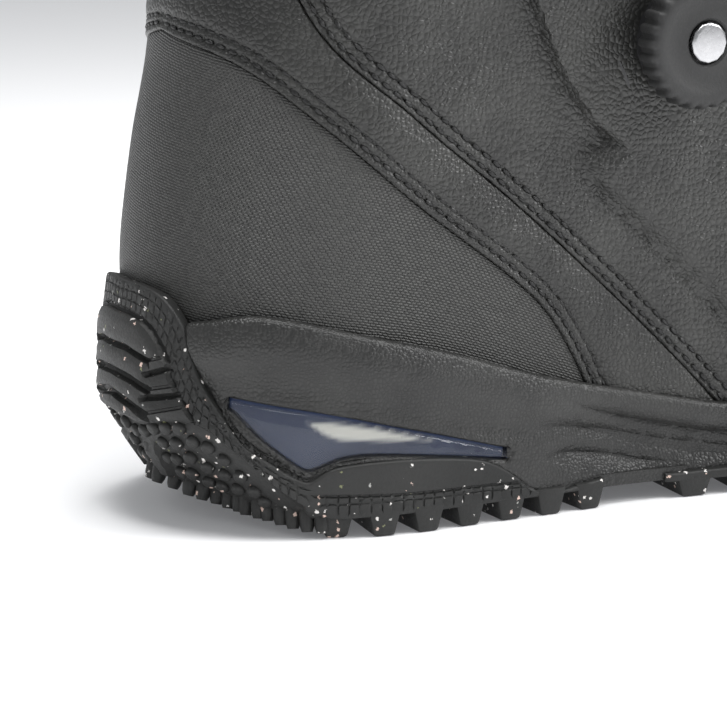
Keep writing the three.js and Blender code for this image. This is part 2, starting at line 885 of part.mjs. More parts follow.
// Stiffeners hidden between the panels and the liner.
const counterOuter = panelThickness + gap;
const counter = form(-counterOuter, gap, 72)
  .subtract(form(-counterOuter - counterThickness, 0, 74))
  .intersect(slab([...shifted(seamOne, -4), [farLeft, 80], [farLeft, 0], [100, 0]]))
  .subtract(slab(above([[-40, 84], [140, 84]])));
place("heel_counter", "composite", mainBody(counter));
const puff = form(-counterOuter, gap, 120)
  .subtract(form(-counterOuter - counterThickness, 0, 122))
  .subtract(slab([[farLeft, -20], [foreShare(252), -20], [foreShare(246), 140], [farLeft, 140]]));
place("toe_stiffener", "composite", mainBody(puff));

const boardEdge = counterOuter + counterThickness + gap;
const board = form(-boardEdge, gap, 40).subtract(aboveFoot(gap + boardThickness));
place("lasting_board", "board", mainBody(board));

// ---- liner --------------------------------------------------------------------------------
const linerOuter = boardEdge;
const linerInner = linerOuter + linerThickness;
const linerFloor = boardThickness + 2 * gap;
const insoleTop = linerFloor + linerThickness * 0.8;
const linerSides = 22;
const linerThroat = frontSlab(throat(-4, 92), foreShare(100), soleLength + 60);
const linerLayer = form(-linerOuter, linerFloor, formTop, linerSides).subtract(
  form(-linerInner, insoleTop, formTop + 1, linerSides),
);
place("liner_foot", "liner", mainBody(linerLayer.subtract(slab(above(shifted(lowerFlexLine, -1))))));
const linerTop = shifted(collarLine, 8);
place(
  "liner_cuff",
  "liner",
  mainBody(
    linerLayer
      .subtract(linerThroat)
      .subtract(slab(below(shifted(upperFlexLine, 1))))
      .subtract(slab(above(linerTop))),
  ),
);
const bedFloor = insoleTop + gap;
const footbed = form(-linerInner - gap, bedFloor, 40, linerSides).subtract(
  aboveFoot(bedFloor + footbedThickness),
);
place("footbed", "liner", mainBody(footbed));

// ---- tongue -------------------------------------------------------------------------------
const tongueClear = 1.2; // from the tongue's side to the facing beside it
const tongueBand = (extra, outer, inner, from) =>
  form(-outer, 40)
    .subtract(form(-inner, 38, formTop + 1))
    .intersect(frontSlab(throat(extra, from), foreShare(100), soleLength + 60));
// Lower tongue: fixed under the vamp and between the quarters.
const tongueLower = tongueBand(-tongueClear, 1, linerOuter - 0.6, throatFoot + 1)
  .subtract(slab(above([[60, 132], [foreShare(190), 150]])));
place("tongue_lower", "leather", mainBody(tongueLower));
const tongueTop = shifted(collarLine, 10);
const tongueUpper = tongueBand(-tongueClear, 0.6, linerOuter - 0.6, throatFoot)
  .subtract(slab(below([[40, anklePivot[1] + 36], [foreShare(190), anklePivot[1] + 62]])))
  .subtract(slab(above(tongueTop)));
place("tongue_upper", "leather", mainBody(tongueUpper));
const linerTongueLayer = form(-linerOuter - 0.2, 40, formTop, linerSides)
  .subtract(form(-linerInner + 0.2, 38, formTop + 1, linerSides))
  .intersect(frontSlab(throat(-4 - tongueClear, 94), foreShare(100), soleLength + 60));
place(
  "liner_tongue",
  "liner",
  mainBody(
    linerTongueLayer
      .subtract(slab(below([[40, anklePivot[1] + 38], [foreShare(190), anklePivot[1] + 64]])))
      .subtract(slab(above(shifted(tongueTop, 4)))),
  ),
);

// ---- lacing -------------------------------------------------------------------------------
const laceRadius = laceDiameter / 2;
const laceLift = 2.7; // height of the lace's centre over the panels, in the guides
const guideReach = 9; // how far out from the throat the lace turns
const laceSteps = 52;

function tube(points, radius, steps, sides = 8) {
  const path = new THREE.CatmullRomCurve3(points, false, "centripetal");
  const section = new THREE.Shape(
    Array.from({ length: sides }, (_, i) => {
      const a = (2 * Math.PI * i) / sides;
      return new THREE.Vector2(radius * Math.cos(a), radius * Math.sin(a));
    }),
  );
  return new THREE.ExtrudeGeometry(section, { steps, extrudePath: path, bevelEnabled: false });
}

// One crossing of the throat at height h: points from the side `from` (-1 lateral) to the other.
// The lace dips a little in height towards the guides, as a straight string over the instep does.
function crossing(h, from, half, dip) {
  return [1, 0.55, 0, -0.55, -1].map((s) => {
    const y = s * half;
    const lift = THREE.MathUtils.lerp(1.6, laceLift, s * s);
    return onForm(h - dip * s * s, frontAngle(h - dip * s * s, y * from), lift);
  });
}

// A dial and lace zone. rows are the heights at which the lace crosses the front.
function laceZone(zone) {
  const { rows, half, dip, dialHeightOnForm, dialX } = zone;
  const outer = half + guideReach;
  const turn = (h, side) =>
    onForm(h - dip * 1.3, frontAngle(h - dip * 1.3, outer * side), laceLift);
  const t = sideAngle(dialHeightOnForm, dialX);
  const seat = onForm(dialHeightOnForm, t, 0);
  const axis = formNormal(dialHeightOnForm, t);
  const toward = (p) => {
    const v = p.clone().sub(seat);
    v.addScaledVector(axis, -v.dot(axis)).normalize();
    return seat.clone().addScaledVector(v, 12.2).addScaledVector(axis, 3.4);
  };
  // A point on the panel half way between a crossing's end and the dial.
  const midway = (p) => {
    const x = (p.x + seat.x) / 2;
    const h = (p.z - footLine(p.x) + dialHeightOnForm) / 2;
    return onForm(h, sideAngle(h, x), laceLift);
  };
  const points = [];
  rows.forEach((h, i) => {
    const from = i % 2 === 0 ? -1 : 1;
    const cross = crossing(h, from, half, dip);
    if (i === 0) points.push(toward(midway(cross[0])), midway(cross[0]));
    points.push(...cross);
    const next = rows[i + 1];
    if (next !== undefined) points.push(turn((h + next) / 2, -from));
  });
  const lastSide = rows.length % 2 === 0 ? -1 : 1;
  const lastTurn = turn(rows[rows.length - 1] - 2, lastSide);
  points.push(lastTurn);
  const back = onForm(
    THREE.MathUtils.lerp(rows[rows.length - 1], dialHeightOnForm, 0.45) - zone.returnDrop,
    sideAngle(
      THREE.MathUtils.lerp(rows[rows.length - 1], dialHeightOnForm, 0.45) - zone.returnDrop,
      zone.returnX,
    ),
    laceLift - 0.4,
  );
  points.push(back, toward(back));
  const channel = solid(tube(points, laceRadius + gap, laceSteps, 6));
  const lace = solid(tube(points, laceRadius, laceSteps, 8));
  // Guides: one at each turn.
  const guides = [];
  const guide = (centre, h, side, length, width) => {
    const a = frontAngle(h, centre * side);
    const p = onForm(h, a, 0);
    const n = formNormal(h, a);
    const upward = onForm(h + 4, frontAngle(h + 4, centre * side)).sub(
      onForm(h - 4, frontAngle(h - 4, centre * side)),
    );
    const across = new THREE.Vector3().crossVectors(upward, n).normalize();
    upward.crossVectors(n, across).normalize();
    const shape = new THREE.Shape();
    const r = 3;
    const a0 = width / 2;
    const b0 = length / 2;
    shape.moveTo(-a0 + r, -b0);
    shape.lineTo(a0 - r, -b0);
    shape.quadraticCurveTo(a0, -b0, a0, -b0 + r);
    shape.lineTo(a0, b0 - r);
    shape.quadraticCurveTo(a0, b0, a0 - r, b0);
    shape.lineTo(-a0 + r, b0);
    shape.quadraticCurveTo(-a0, b0, -a0, b0 - r);
    shape.lineTo(-a0, -b0 + r);
    shape.quadraticCurveTo(-a0, -b0, -a0 + r, -b0);
    const g = new THREE.ExtrudeGeometry(shape, { depth: 9, bevelEnabled: false, curveSegments: 1 });
    g.translate(0, 0, -4);
    g.applyMatrix4(new THREE.Matrix4().makeBasis(across, upward, n).setPosition(p));
    return mainBody(solid(g).subtract(grownForm).subtract(channel));
  };
  rows.slice(0, -1).forEach((h, i) => {
    const side = i % 2 === 0 ? 1 : -1;
    const mid = (h + rows[i + 1]) / 2 - dip * 1.15;
    guides.push([side, guide(half + guideReach * 0.62, mid, side, h - rows[i + 1] + 7, 10)]);
  });
  guides.push([
    lastSide,
    guide(half + guideReach * 0.62, rows[rows.length - 1] - dip * 1.1 - 1, lastSide, 15, 10),
  ]);
  return { lace, channel, guides, seat, axis };
}

const grownForm = form(gap, 30);

// The dial's pieces, along its own axis from the panel's face.
const hubRadius = 11;
const baseTop = 6;
const spoolRadius = 8.4;
const axleRadius = 1.8;
const headRadius = 4.6;

function onAxis(g, zone) {
  g.applyQuaternion(
    new THREE.Quaternion().setFromUnitVectors(new THREE.Vector3(0, 0, 1), zone.axis),
  );
  g.translate(zone.seat.x, zone.seat.y, zone.seat.z);
  return g;
}

function dialBase(zone) {
  const plate = solid(onAxis(bar(dialRadius + 2, -4, 2.6, 20), zone));
  const hub = solid(onAxis(bar(hubRadius + 1.6, 0, baseTop, 20), zone));
  const well = solid(onAxis(bar(spoolRadius + gap, 1.2, baseTop + 1, 20), zone));
  return mainBody(plate.add(hub).subtract(grownForm).subtract(well).subtract(zone.channel));
}

function dialSpool(zone) {
  const profile = [
    [axleRadius + gap, 1.6],
    [spoolRadius, 1.6],
    [spoolRadius, 2.4],
    [spoolRadius - 2, 3],
    [spoolRadius - 2, 4],
    [spoolRadius, 4.6],
    [spoolRadius, baseTop - 0.2],
    [axleRadius + gap, baseTop - 0.2],
    [axleRadius + gap, 1.6],
  ].map(([r, a]) => new THREE.Vector2(r, a));
  const g = new THREE.LatheGeometry(profile, 16);
  g.rotateX(Math.PI / 2);
  return solid(onAxis(g, zone));
}

function dialKnob(zone) {
  const low = baseTop + 0.5;
  const high = low + dialHeight;
  const ribs = 14;
  const shape = new THREE.Shape();
  const dialOuter = (a) => dialRadius - 0.7 * (0.5 + 0.5 * Math.cos(ribs * a));
  for (let i = 0; i < ribs * 2; i += 1) {
    const a = (Math.PI * i) / ribs;
    const r = dialOuter(a);
    if (i === 0) shape.moveTo(r, 0);
    else shape.lineTo(r * Math.cos(a), r * Math.sin(a));
  }
  const g = new THREE.ExtrudeGeometry(shape, {
    depth: dialHeight - 1.4,
    bevelEnabled: true,
    bevelThickness: 0.7,
    bevelSize: 0.7,
    bevelOffset: -0.7,
    bevelSegments: 1,
  });
  g.translate(0, 0, low + 0.7);
  const bore = bar(axleRadius + gap, low - 1, high + 1, 16);
  const recess = bar(headRadius + gap, high - 2, high + 1, 20);
  return mainBody(
    solid(onAxis(g, zone)).subtract(solid(onAxis(bore, zone))).subtract(solid(onAxis(recess, zone))),
  );
}

function dialAxle(zone) {
  const high = baseTop + 0.5 + dialHeight;
  const profile = [
    [0, 1.5],
    [axleRadius, 1.5],
    [axleRadius, high - 2 + gap],
    [headRadius, high - 2 + gap],
    [headRadius, high - 0.4],
    [headRadius - 0.6, high],
    [0, high],
  ].map(([r, a]) => new THREE.Vector2(r, a));
  const g = new THREE.LatheGeometry(profile, 12);
  g.rotateX(Math.PI / 2);
  return solid(onAxis(g, zone));
}

const zones = {
  lower: {
    rows: [126, 114, 103, 92.5],
    half: 25.5,
    dip: 9,
    dialHeightOnForm: 92,
    dialX: foreShare(122),
    returnDrop: 14,
    returnX: foreShare(152),
  },
  upper: {
    rows: [cuffTop - 38, cuffTop - 64, cuffTop - 90, cuffTop - 116],
    half: 31,
    dip: 2,
    dialHeightOnForm: cuffTop - 64,
    dialX: foreShare(82),
    returnDrop: 10,
    returnX: foreShare(104),
  },
};

for (const [name, settings] of Object.entries(zones)) {
  const zone = laceZone(settings);
  place(name + "_lace", "lace", zone.lace);
  const counts = { 1: 0, "-1": 0 };
  for (const [side, made] of zone.guides) {
    counts[side] += 1;
    const label = side < 0 ? "lateral" : "medial";
    place([name, "guide", label, counts[side]].join("_"), "nylon", made);
  }
  place(name + "_dial_base", "nylon", dialBase(zone));
  place(name + "_dial_spool", "nylon", dialSpool(zone));
  place(name + "_dial_axle", "steel", dialAxle(zone));
  place(name + "_dial_knob", "rubber", dialKnob(zone));
}

// ---- pull loops ---------------------------------------------------------------------------
function pullLoop(h, t, width, reach, rise) {
  const p = onForm(h, t, 0);
  const n = formNormal(h, t);
  const up = new THREE.Vector3(0, 0, 1);
  const across = new THREE.Vector3().crossVectors(up, n).normalize();
  const shape = new THREE.Shape();
  const thick = 1.6;
  shape.moveTo(0.4, -rise);
  shape.lineTo(0.4 + thick, -rise);
  shape.quadraticCurveTo(reach + thick, -rise * 0.6, reach + thick, 0);
  shape.quadraticCurveTo(reach + thick, rise * 0.7, 0.4 + thick, rise);
  shape.lineTo(0.4, rise);
  shape.quadraticCurveTo(reach - 0.6, rise * 0.55, reach, 0);
  shape.quadraticCurveTo(reach - 0.6, -rise * 0.5, 0.4, -rise);
  const g = new THREE.ExtrudeGeometry(shape, { depth: width, bevelEnabled: false, curveSegments: 4 });
  g.translate(0, 0, -width / 2);
  g.applyMatrix4(new THREE.Matrix4().makeBasis(n, up, across.clone().negate()).setPosition(p));
  return solid(g);
}
place("rear_pull_loop", "nylon", mainBody(pullLoop(cuffTop - 64, 0, 22, 9, 24).subtract(grownForm)));
place("tongue_pull_loop", "nylon", mainBody(pullLoop(cuffTop - 26, Math.PI, 20, 9, 20).subtract(grownForm)));

// The origin: the middle of the sole's length, on the ground.
boot.position.set(-soleLength / 2, 0, 0);
export default boot;
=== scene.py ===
# A soft snowboard boot for the right foot, dressed round its fixed CAD frame.
# Shapes are worked out in millimetres from the back of the heel, then moved into the frame's metres.
import math
import bmesh
import bpy
import numpy as np
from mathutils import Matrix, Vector, geometry, kdtree


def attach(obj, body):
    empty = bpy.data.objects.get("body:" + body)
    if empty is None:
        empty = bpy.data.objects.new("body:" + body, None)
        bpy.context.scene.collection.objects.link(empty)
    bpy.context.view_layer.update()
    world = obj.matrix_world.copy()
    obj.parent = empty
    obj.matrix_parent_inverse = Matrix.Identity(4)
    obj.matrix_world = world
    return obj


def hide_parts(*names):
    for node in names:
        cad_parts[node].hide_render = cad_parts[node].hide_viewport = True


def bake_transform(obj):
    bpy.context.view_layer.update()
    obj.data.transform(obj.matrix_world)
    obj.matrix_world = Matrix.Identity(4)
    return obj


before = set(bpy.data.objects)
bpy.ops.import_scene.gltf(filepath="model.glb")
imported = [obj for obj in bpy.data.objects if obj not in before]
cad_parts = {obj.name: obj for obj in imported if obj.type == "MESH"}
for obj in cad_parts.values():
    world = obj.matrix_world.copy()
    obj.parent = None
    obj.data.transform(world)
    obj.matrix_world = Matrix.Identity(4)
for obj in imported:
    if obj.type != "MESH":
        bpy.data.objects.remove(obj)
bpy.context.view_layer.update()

scene = bpy.context.scene
scene.view_settings.view_transform = "Standard"
midLength = 152.5  # from the back of the heel to the frame's origin


def toMetres(points):
    return (np.asarray(points, float) - (midLength, 0, 0)) / 1000


def curve(knots):
    xs, ys = np.array(knots, float).T
    n = len(xs)
    before = np.maximum(np.arange(n) - 1, 0)
    after = np.minimum(np.arange(n) + 1, n - 1)
    slope = (ys[after] - ys[before]) / (xs[after] - xs[before])

    def read(x):
        x = np.clip(np.asarray(x, float), xs[0], xs[-1])
        i = np.clip(np.searchsorted(xs, x, side="right") - 1, 0, n - 2)
        w = xs[i + 1] - xs[i]
        t = (x - xs[i]) / w
        low = ys[i] * (2 * t**3 - 3 * t**2 + 1) + slope[i] * w * (t**3 - 2 * t**2 + t)
        return low + ys[i + 1] * (3 * t**2 - 2 * t**3) + slope[i + 1] * w * (t**3 - t**2)

    return read


def smooth(a, b, x):
    t = np.clip((np.asarray(x, float) - a) / (b - a), 0, 1)
    return t * t * (3 - 2 * t)


def spline(knots, closed=False, per=10):
    p = np.array(knots, float)
    n = len(p)
    out = []
    for i in range(n if closed else n - 1):
        if closed:
            p0, p1, p2, p3 = p[i - 1], p[i], p[(i + 1) % n], p[(i + 2) % n]
        else:
            p1, p2 = p[i], p[i + 1]
            p0 = p[i - 1] if i else 2 * p1 - p2
            p3 = p[i + 2] if i + 2 < n else 2 * p2 - p1
        d0, d1, d2 = (max(np.linalg.norm(b - a), 1e-6) ** 0.5 for a, b in ((p0, p1), (p1, p2), (p2, p3)))
        t1 = ((p1 - p0) / d0 - (p2 - p0) / (d0 + d1) + (p2 - p1) / d1) * d1
        t2 = ((p2 - p1) / d1 - (p3 - p1) / (d1 + d2) + (p3 - p2) / d2) * d1
        t = np.linspace(0, 1, per, endpoint=False)[:, None]
        out.append(p1 + t1 * t + (-3 * p1 + 3 * p2 - 2 * t1 - t2) * t**2 + (2 * p1 - 2 * p2 + t1 + t2) * t**3)
    if not closed:
        out.append(p[-1:])
    return np.concatenate(out)


footLine = curve([(0, 27), (60, 26), (108, 17), (140, 14), (215, 13), (260, 16), (298, 24)])
backProfile = curve([(0, 14.5), (8, 8), (18, 5.8), (28, 5.2), (36, 5.6), (44, 6.6), (52, 7.8), (60, 9.2),
                     (68, 11), (76, 12.6), (98, 15.5), (123, 16.5), (153, 15.5), (188, 12.5), (223, 10),
                     (258, 10), (300, 12.5)])
frontKnots = [(0, 290), (10, 296), (20, 298), (30, 297), (41, 293), (50, 286), (57, 276), (62, 264),
              (66, 250), (69.5, 235), (74, 222), (80, 208), (88, 195), (98, 182), (109, 170), (121, 159),
              (133, 150), (146, 143.5), (160, 139), (175, 136.5), (200, 135), (230, 136), (260, 139),
              (300, 144)]
frontProfile = curve(frontKnots)
footHalf = curve([(0, 37), (20, 38.5), (45, 39.6), (80, 39), (115, 38), (145, 40), (180, 48.5), (215, 52.5),
                  (250, 51), (298, 43)])
shaftHalf = curve([(40, 39.5), (75, 40), (110, 41.5), (150, 43), (200, 45.5), (250, 47.5), (300, 48)])


def rounded(share, power):
    return (1 - (1 - np.clip(share, 0, 1)) ** power) ** (1 / power)


def frontDistance(x, h):
    levels = np.linspace(0, 320, 401)
    line = np.stack([frontProfile(levels), levels], 1)
    best = np.full(x.shape, 1e9)
    for a, d in zip(line[:-1], np.diff(line, axis=0)):
        t = np.clip(((x - a[0]) * d[0] + (h - a[1]) * d[1]) / (d @ d), 0, 1)
        best = np.minimum(best, np.hypot(x - a[0] - t * d[0], h - a[1] - t * d[1]))
    return best


lowestRow, topRow, angleSteps = -12, 316, 360


def makeForm():
    h, t = np.meshgrid(np.arange(lowestRow, topRow + 1.0), np.linspace(0, np.pi, angleSteps + 1),
                       indexing="ij")
    back, front = backProfile(h), frontProfile(h)
    x = back + (front - back) * (1 - np.cos(t)) / 2
    side = footHalf(x) * (1 - smooth(40, 115, h)) + shaftHalf(h) * smooth(40, 115, h)
    under = 1 - 0.12 * (1 - np.clip(h / 9, 0, 1)) ** 2
    w = side * under * rounded((x - back) / 44, 2.15) * rounded(frontDistance(x, h) / 50, 2.1)
    w[:, 0] = w[:, -1] = 0
    at = np.stack([x, -w, footLine(x) + h], -1)
    normal = np.cross(np.gradient(at, axis=1), np.gradient(at, axis=0))
    normal[:, [0, -1], 1] = 0
    normal /= np.linalg.norm(normal, axis=-1, keepdims=True)
    share = np.linspace(0, 1, 13)[None, :, None]
    normal[:, -13:] = normal[:, -13:-12] * (1 - share) + normal[:, -1:] * share
    normal /= np.linalg.norm(normal, axis=-1, keepdims=True)
    step = np.linalg.norm(np.diff(at[..., :2], axis=1), axis=-1)
    around = np.concatenate([np.zeros((len(at), 1)), np.cumsum(step, 1)], 1)
    return at, normal, around


formAt, formNormals, formAround = makeForm()


def readTable(table, h, a):
    i = np.clip(h - lowestRow, 0, len(table) - 1.001)
    j = np.clip(a / np.pi * angleSteps, 0, angleSteps - 0.001)
    i0, j0 = i.astype(int), j.astype(int)
    fi, fj = i - i0, j - j0
    if table.ndim == 3:
        fi, fj = fi[..., None], fj[..., None]
    low = table[i0, j0] * (1 - fj) + table[i0, j0 + 1] * fj
    return low * (1 - fi) + (table[i0 + 1, j0] * (1 - fj) + table[i0 + 1, j0 + 1] * fj) * fi


def onForm(h, t, out=0.0):
    h, t, out = np.broadcast_arrays(np.asarray(h, float), np.asarray(t, float), np.asarray(out, float))
    t = (t + np.pi) % (2 * np.pi) - np.pi
    at, n = readTable(formAt, h, np.abs(t)), readTable(formNormals, h, np.abs(t))
    at = at + n / np.linalg.norm(n, axis=-1, keepdims=True) * out[..., None]
    at[..., 1] *= np.where(t < 0, -1, 1)
    return at


def sideToForm(x, z):
    x, z = np.asarray(x, float), np.asarray(z, float)
    h = z - footLine(x)
    back, front = backProfile(h), frontProfile(h)
    return np.arccos(np.clip(1 - 2 * (x - back) / (front - back), -1, 1)), h


def angleAtWidth(h, y):
    h, y = np.broadcast_arrays(np.asarray(h, float), np.asarray(y, float))
    low, high = np.full(h.shape, np.pi / 2), np.full(h.shape, np.pi)
    for _ in range(26):
        mid = (low + high) / 2
        wide = np.abs(readTable(formAt, h, mid)[..., 1]) > np.abs(y)
        low, high = np.where(wide, mid, low), np.where(wide, high, mid)
    return np.where(y >= 0, low, 2 * np.pi - low)


# The sole's outline, its wall, and a place on the wall by distance round from the back of the heel.
outlineKnots = [(1.4, 0), (6, -20), (20, -34.5), (45, -43), (80, -42.7), (115, -41), (145, -43.5),
                (180, -51.5), (215, -56.5), (250, -53.5), (280, -41), (297, -20), (303, 4), (299, 26),
                (285, 43), (255, 53.5), (215, 55.5), (180, 48), (145, 40), (115, 38.5), (80, 41), (45, 43),
                (20, 34.5), (6, 20)]
outlineRing = spline(outlineKnots, closed=True, per=24)
outlineStep = np.linalg.norm(np.roll(outlineRing, -1, 0) - outlineRing, axis=1)
outlineAround = np.concatenate([[0], np.cumsum(outlineStep)])
outlineLength = outlineAround[-1]
outlineTangent = np.roll(outlineRing, -1, 0) - np.roll(outlineRing, 1, 0)
outlineTangent /= np.linalg.norm(outlineTangent, axis=1)[:, None]
outlineLoop = np.vstack([outlineRing, outlineRing[:1]])
tangentLoop = np.vstack([outlineTangent, outlineTangent[:1]])
bevelTop = curve([(-2, 26), (3, 26), (9, 24.5), (14, 21), (20, 16), (26, 12), (32, 8.5), (40, 5)])
bevelSlope = curve([(0, 0.35), (6, 0.42), (12, 0.49), (20, 0.56), (30, 0.56), (44, 0)])
bevelBase = curve([(-12, 21), (-2, 16), (8, 10.6), (18, 6.6), (27, 4.6)])


def wallLean(x, z):
    up = 0.0022 * (z - 30) ** 2 * np.where(z > 30, 1 + 0.7 * (1 - smooth(0, 30, x)), 0.5)
    toe = 0.25 * smooth(260, 295, x) * np.maximum(z - 20, 0)
    return up + bevelSlope(x) * np.maximum(bevelTop(x) - z, 0) ** 1.15 + toe


def outlineAt(g):
    g = np.mod(g, outlineLength)
    p = np.stack([np.interp(g, outlineAround, outlineLoop[:, k]) for k in (0, 1)], -1)
    t = np.stack([np.interp(g, outlineAround, tangentLoop[:, k]) for k in (0, 1)], -1)
    return p, t / np.linalg.norm(t, axis=-1, keepdims=True)


def onWall(g, z, out=0.0):
    g, z, out = np.broadcast_arrays(np.asarray(g, float), np.asarray(z, float), np.asarray(out, float))
    p, t = outlineAt(g)
    lean = wallLean(p[..., 0], z)
    slope = (wallLean(p[..., 0], z + 0.5) - wallLean(p[..., 0], z - 0.5))
    share = 1 / np.sqrt(1 + slope**2)
    flat = lean - out * share
    return np.stack([p[..., 0] - t[..., 1] * flat, p[..., 1] + t[..., 0] * flat, z + out * share * slope], -1)


def wallNormal(g, z):
    n = onWall(g, z, 1.0) - onWall(g, z, 0.0)
    return n / np.linalg.norm(n, axis=-1, keepdims=True)


def mirrorRound(loop):
    return np.stack([outlineLength - loop[:, 0], loop[:, 1]], 1)


halfRing = len(outlineRing) // 2


def roundFromX(x, side=1):
    if side > 0:
        return np.interp(x, outlineRing[: halfRing, 0], outlineAround[: halfRing])
    ring = outlineRing[halfRing + 1:][::-1]
    return np.interp(x, ring[:, 0], (outlineAround[halfRing + 1:-1] - outlineLength)[::-1])


def resample(loop, spacing, closed=True):
    p = np.asarray(loop, float)
    if closed:
        p = np.vstack([p, p[:1]])
    step = np.linalg.norm(np.diff(p, axis=0), axis=1)
    keep = np.concatenate([[True], step > 1e-6])
    p, step = p[keep], step[step > 1e-6]
    at = np.concatenate([[0], np.cumsum(step)])
    count = max(int(round(at[-1] / spacing)), 3 if closed else 1)
    s = np.linspace(0, at[-1], count + 1)
    corners = at[1:-1][turnOf(p) > 0.5]
    if len(corners):  # keep sharp corners exactly
        i = np.unique(np.abs(s[:, None] - corners).argmin(0))
        s[i] = corners[np.abs(s[i][:, None] - corners).argmin(1)]
        s = np.unique(s)
    out = np.stack([np.interp(s, at, p[:, k]) for k in (0, 1)], -1)
    return out[:-1] if closed else out


def turnOf(p):
    a = np.diff(p, axis=0)
    a /= np.maximum(np.linalg.norm(a, axis=1), 1e-9)[:, None]
    return np.arccos(np.clip((a[1:] * a[:-1]).sum(1), -1, 1))


def areaOf(loop):
    x, y = loop.T
    return 0.5 * (x * np.roll(y, -1) - y * np.roll(x, -1)).sum()


def insideOf(points, loops):
    inside = np.zeros(len(points), bool)
    for loop in loops:
        a, b = loop, np.roll(loop, -1, 0)
        for k in range(0, len(points), 20000):
            x, y = points[k:k + 20000, 0:1], points[k:k + 20000, 1:2]
            cross = (a[:, 1] > y) != (b[:, 1] > y)
            rise = np.where(b[:, 1] == a[:, 1], 1e-12, b[:, 1] - a[:, 1])
            at = (b[:, 0] - a[:, 0]) * (y - a[:, 1]) / rise + a[:, 0]
            inside[k:k + 20000] ^= ((cross & (x < at)).sum(1) % 2).astype(bool)
    return inside


def lineDistance(points, lines, closed=False):
    a = np.concatenate([p if closed else p[:-1] for p in lines])
    b = np.concatenate([np.roll(p, -1, 0) if closed else p[1:] for p in lines])
    d = b - a
    long = np.maximum((d**2).sum(1), 1e-12)
    best = np.empty(len(points))
    for k in range(0, len(points), 5000):
        q = points[k:k + 5000]
        rx, ry = q[:, 0:1] - a[:, 0], q[:, 1:2] - a[:, 1]
        t = np.clip((rx * d[:, 0] + ry * d[:, 1]) / long, 0, 1)
        best[k:k + 5000] = np.sqrt(((rx - t * d[:, 0]) ** 2 + (ry - t * d[:, 1]) ** 2).min(1))
    return best


def thinned(points, reach, near):
    tree = kdtree.KDTree(len(near))
    for i, p in enumerate(near):
        tree.insert((p[0], p[1], 0), i)
    tree.balance()
    far = [tree.find((p[0], p[1], 0))[2] > reach for p in points]
    return points[np.array(far, bool)] if len(points) else points


def triangles(points, loops):
    edges, start = [], 0
    every = np.vstack([*loops, points]) if len(points) else np.vstack(loops)
    for loop in loops:
        n = len(loop)
        edges += [(start + i, start + (i + 1) % n) for i in range(n)]
        start += n
    found = geometry.delaunay_2d_cdt([Vector(p) for p in every], edges, [], 0, 1e-6)
    out = np.array([tuple(v) for v in found[0]])
    faces = np.array([tuple(f) for f in found[2]])
    middle = out[faces].mean(1)
    faces = faces[insideOf(middle, loops)]
    places = np.zeros(len(every), int)
    for new, olds in enumerate(found[3]):
        for old in olds:
            places[old] = new
    rims, start = [], 0
    for loop in loops:
        rims.append(places[start:start + len(loop)])
        start += len(loop)
    return out, faces, rims


def hexGrid(low, high, step):
    row = step * 0.866
    ys = np.arange(low[1], high[1] + row, row)
    grid = [np.stack([np.arange(low[0] + (i % 2) * step / 2, high[0] + step, step),
                      np.full(len(np.arange(low[0] + (i % 2) * step / 2, high[0] + step, step)), y)], 1)
            for i, y in enumerate(ys)]
    return np.vstack(grid)


def shell(loops, settings, place, relief=None, features=None):
    rim, roll, step = settings["rim"], settings["roll"], settings["step"]
    loops = [resample(loop, rim) for loop in loops]
    loops = [p if (areaOf(p) > 0) == (i == 0) else p[::-1] for i, p in enumerate(loops)]
    fill = []
    for share in (0.08, 0.3, 0.62, 1.0):
        for p in loops:
            along = np.roll(p, -1, 0) - np.roll(p, 1, 0)
            along /= np.maximum(np.linalg.norm(along, axis=1), 1e-9)[:, None]
            moved = p + np.stack([-along[:, 1], along[:, 0]], 1) * roll * share
            good = insideOf(moved, loops)
            good &= lineDistance(moved, loops, True) > roll * share * 0.9
            fill.append(moved[good])
    fill = np.vstack(fill)
    if features is not None and len(features):
        cell = np.round(features / 0.22).astype(int)
        features = features[np.unique(cell, axis=0, return_index=True)[1]]
        features = features[insideOf(features, loops)]
        features = features[lineDistance(features, loops, True) > roll * 1.05 + 0.15]
        fill = np.vstack([fill, features])
    grid = hexGrid(loops[0].min(0), loops[0].max(0), step)
    grid = grid[insideOf(grid, loops)]
    grid = grid[lineDistance(grid, loops, True) > roll + step * 0.45]
    if features is not None and len(features):
        grid = thinned(grid, step * 0.55, features)
    front, faces, rims = triangles(np.vstack([fill, grid]), loops)
    edge = np.clip(lineDistance(front, loops, True), 0, roll)
    drop = roll - np.sqrt(np.maximum(roll**2 - (roll - edge) ** 2, 0))
    lift = relief(front) if relief else np.zeros(len(front))
    lift = lift * smooth(0, roll * 1.5, edge + 1e-9) if settings.get("fade") else lift
    top = place(front[:, 0], front[:, 1], lift - drop)
    coarse = hexGrid(loops[0].min(0), loops[0].max(0), settings.get("backStep", step * 4))
    coarse = coarse[insideOf(coarse, loops)]
    coarse = coarse[lineDistance(coarse, loops, True) > settings.get("backStep", step * 4) * 0.5]
    rear, rearFaces, rearRims = triangles(coarse, loops)
    bottom = place(rear[:, 0], rear[:, 1], np.full(len(rear), -settings["thick"]))
    n = len(top)
    skirt = []
    for a, b in zip(rims, rearRims):
        a2, b2 = np.roll(a, -1), np.roll(b, -1) + n
        skirt += [np.stack([a, b + n, b2], 1), np.stack([a, b2, a2], 1)]
    every = np.vstack([faces, rearFaces[:, ::-1] + n, *skirt])
    return np.vstack([top, bottom]), every, np.vstack([front, rear])


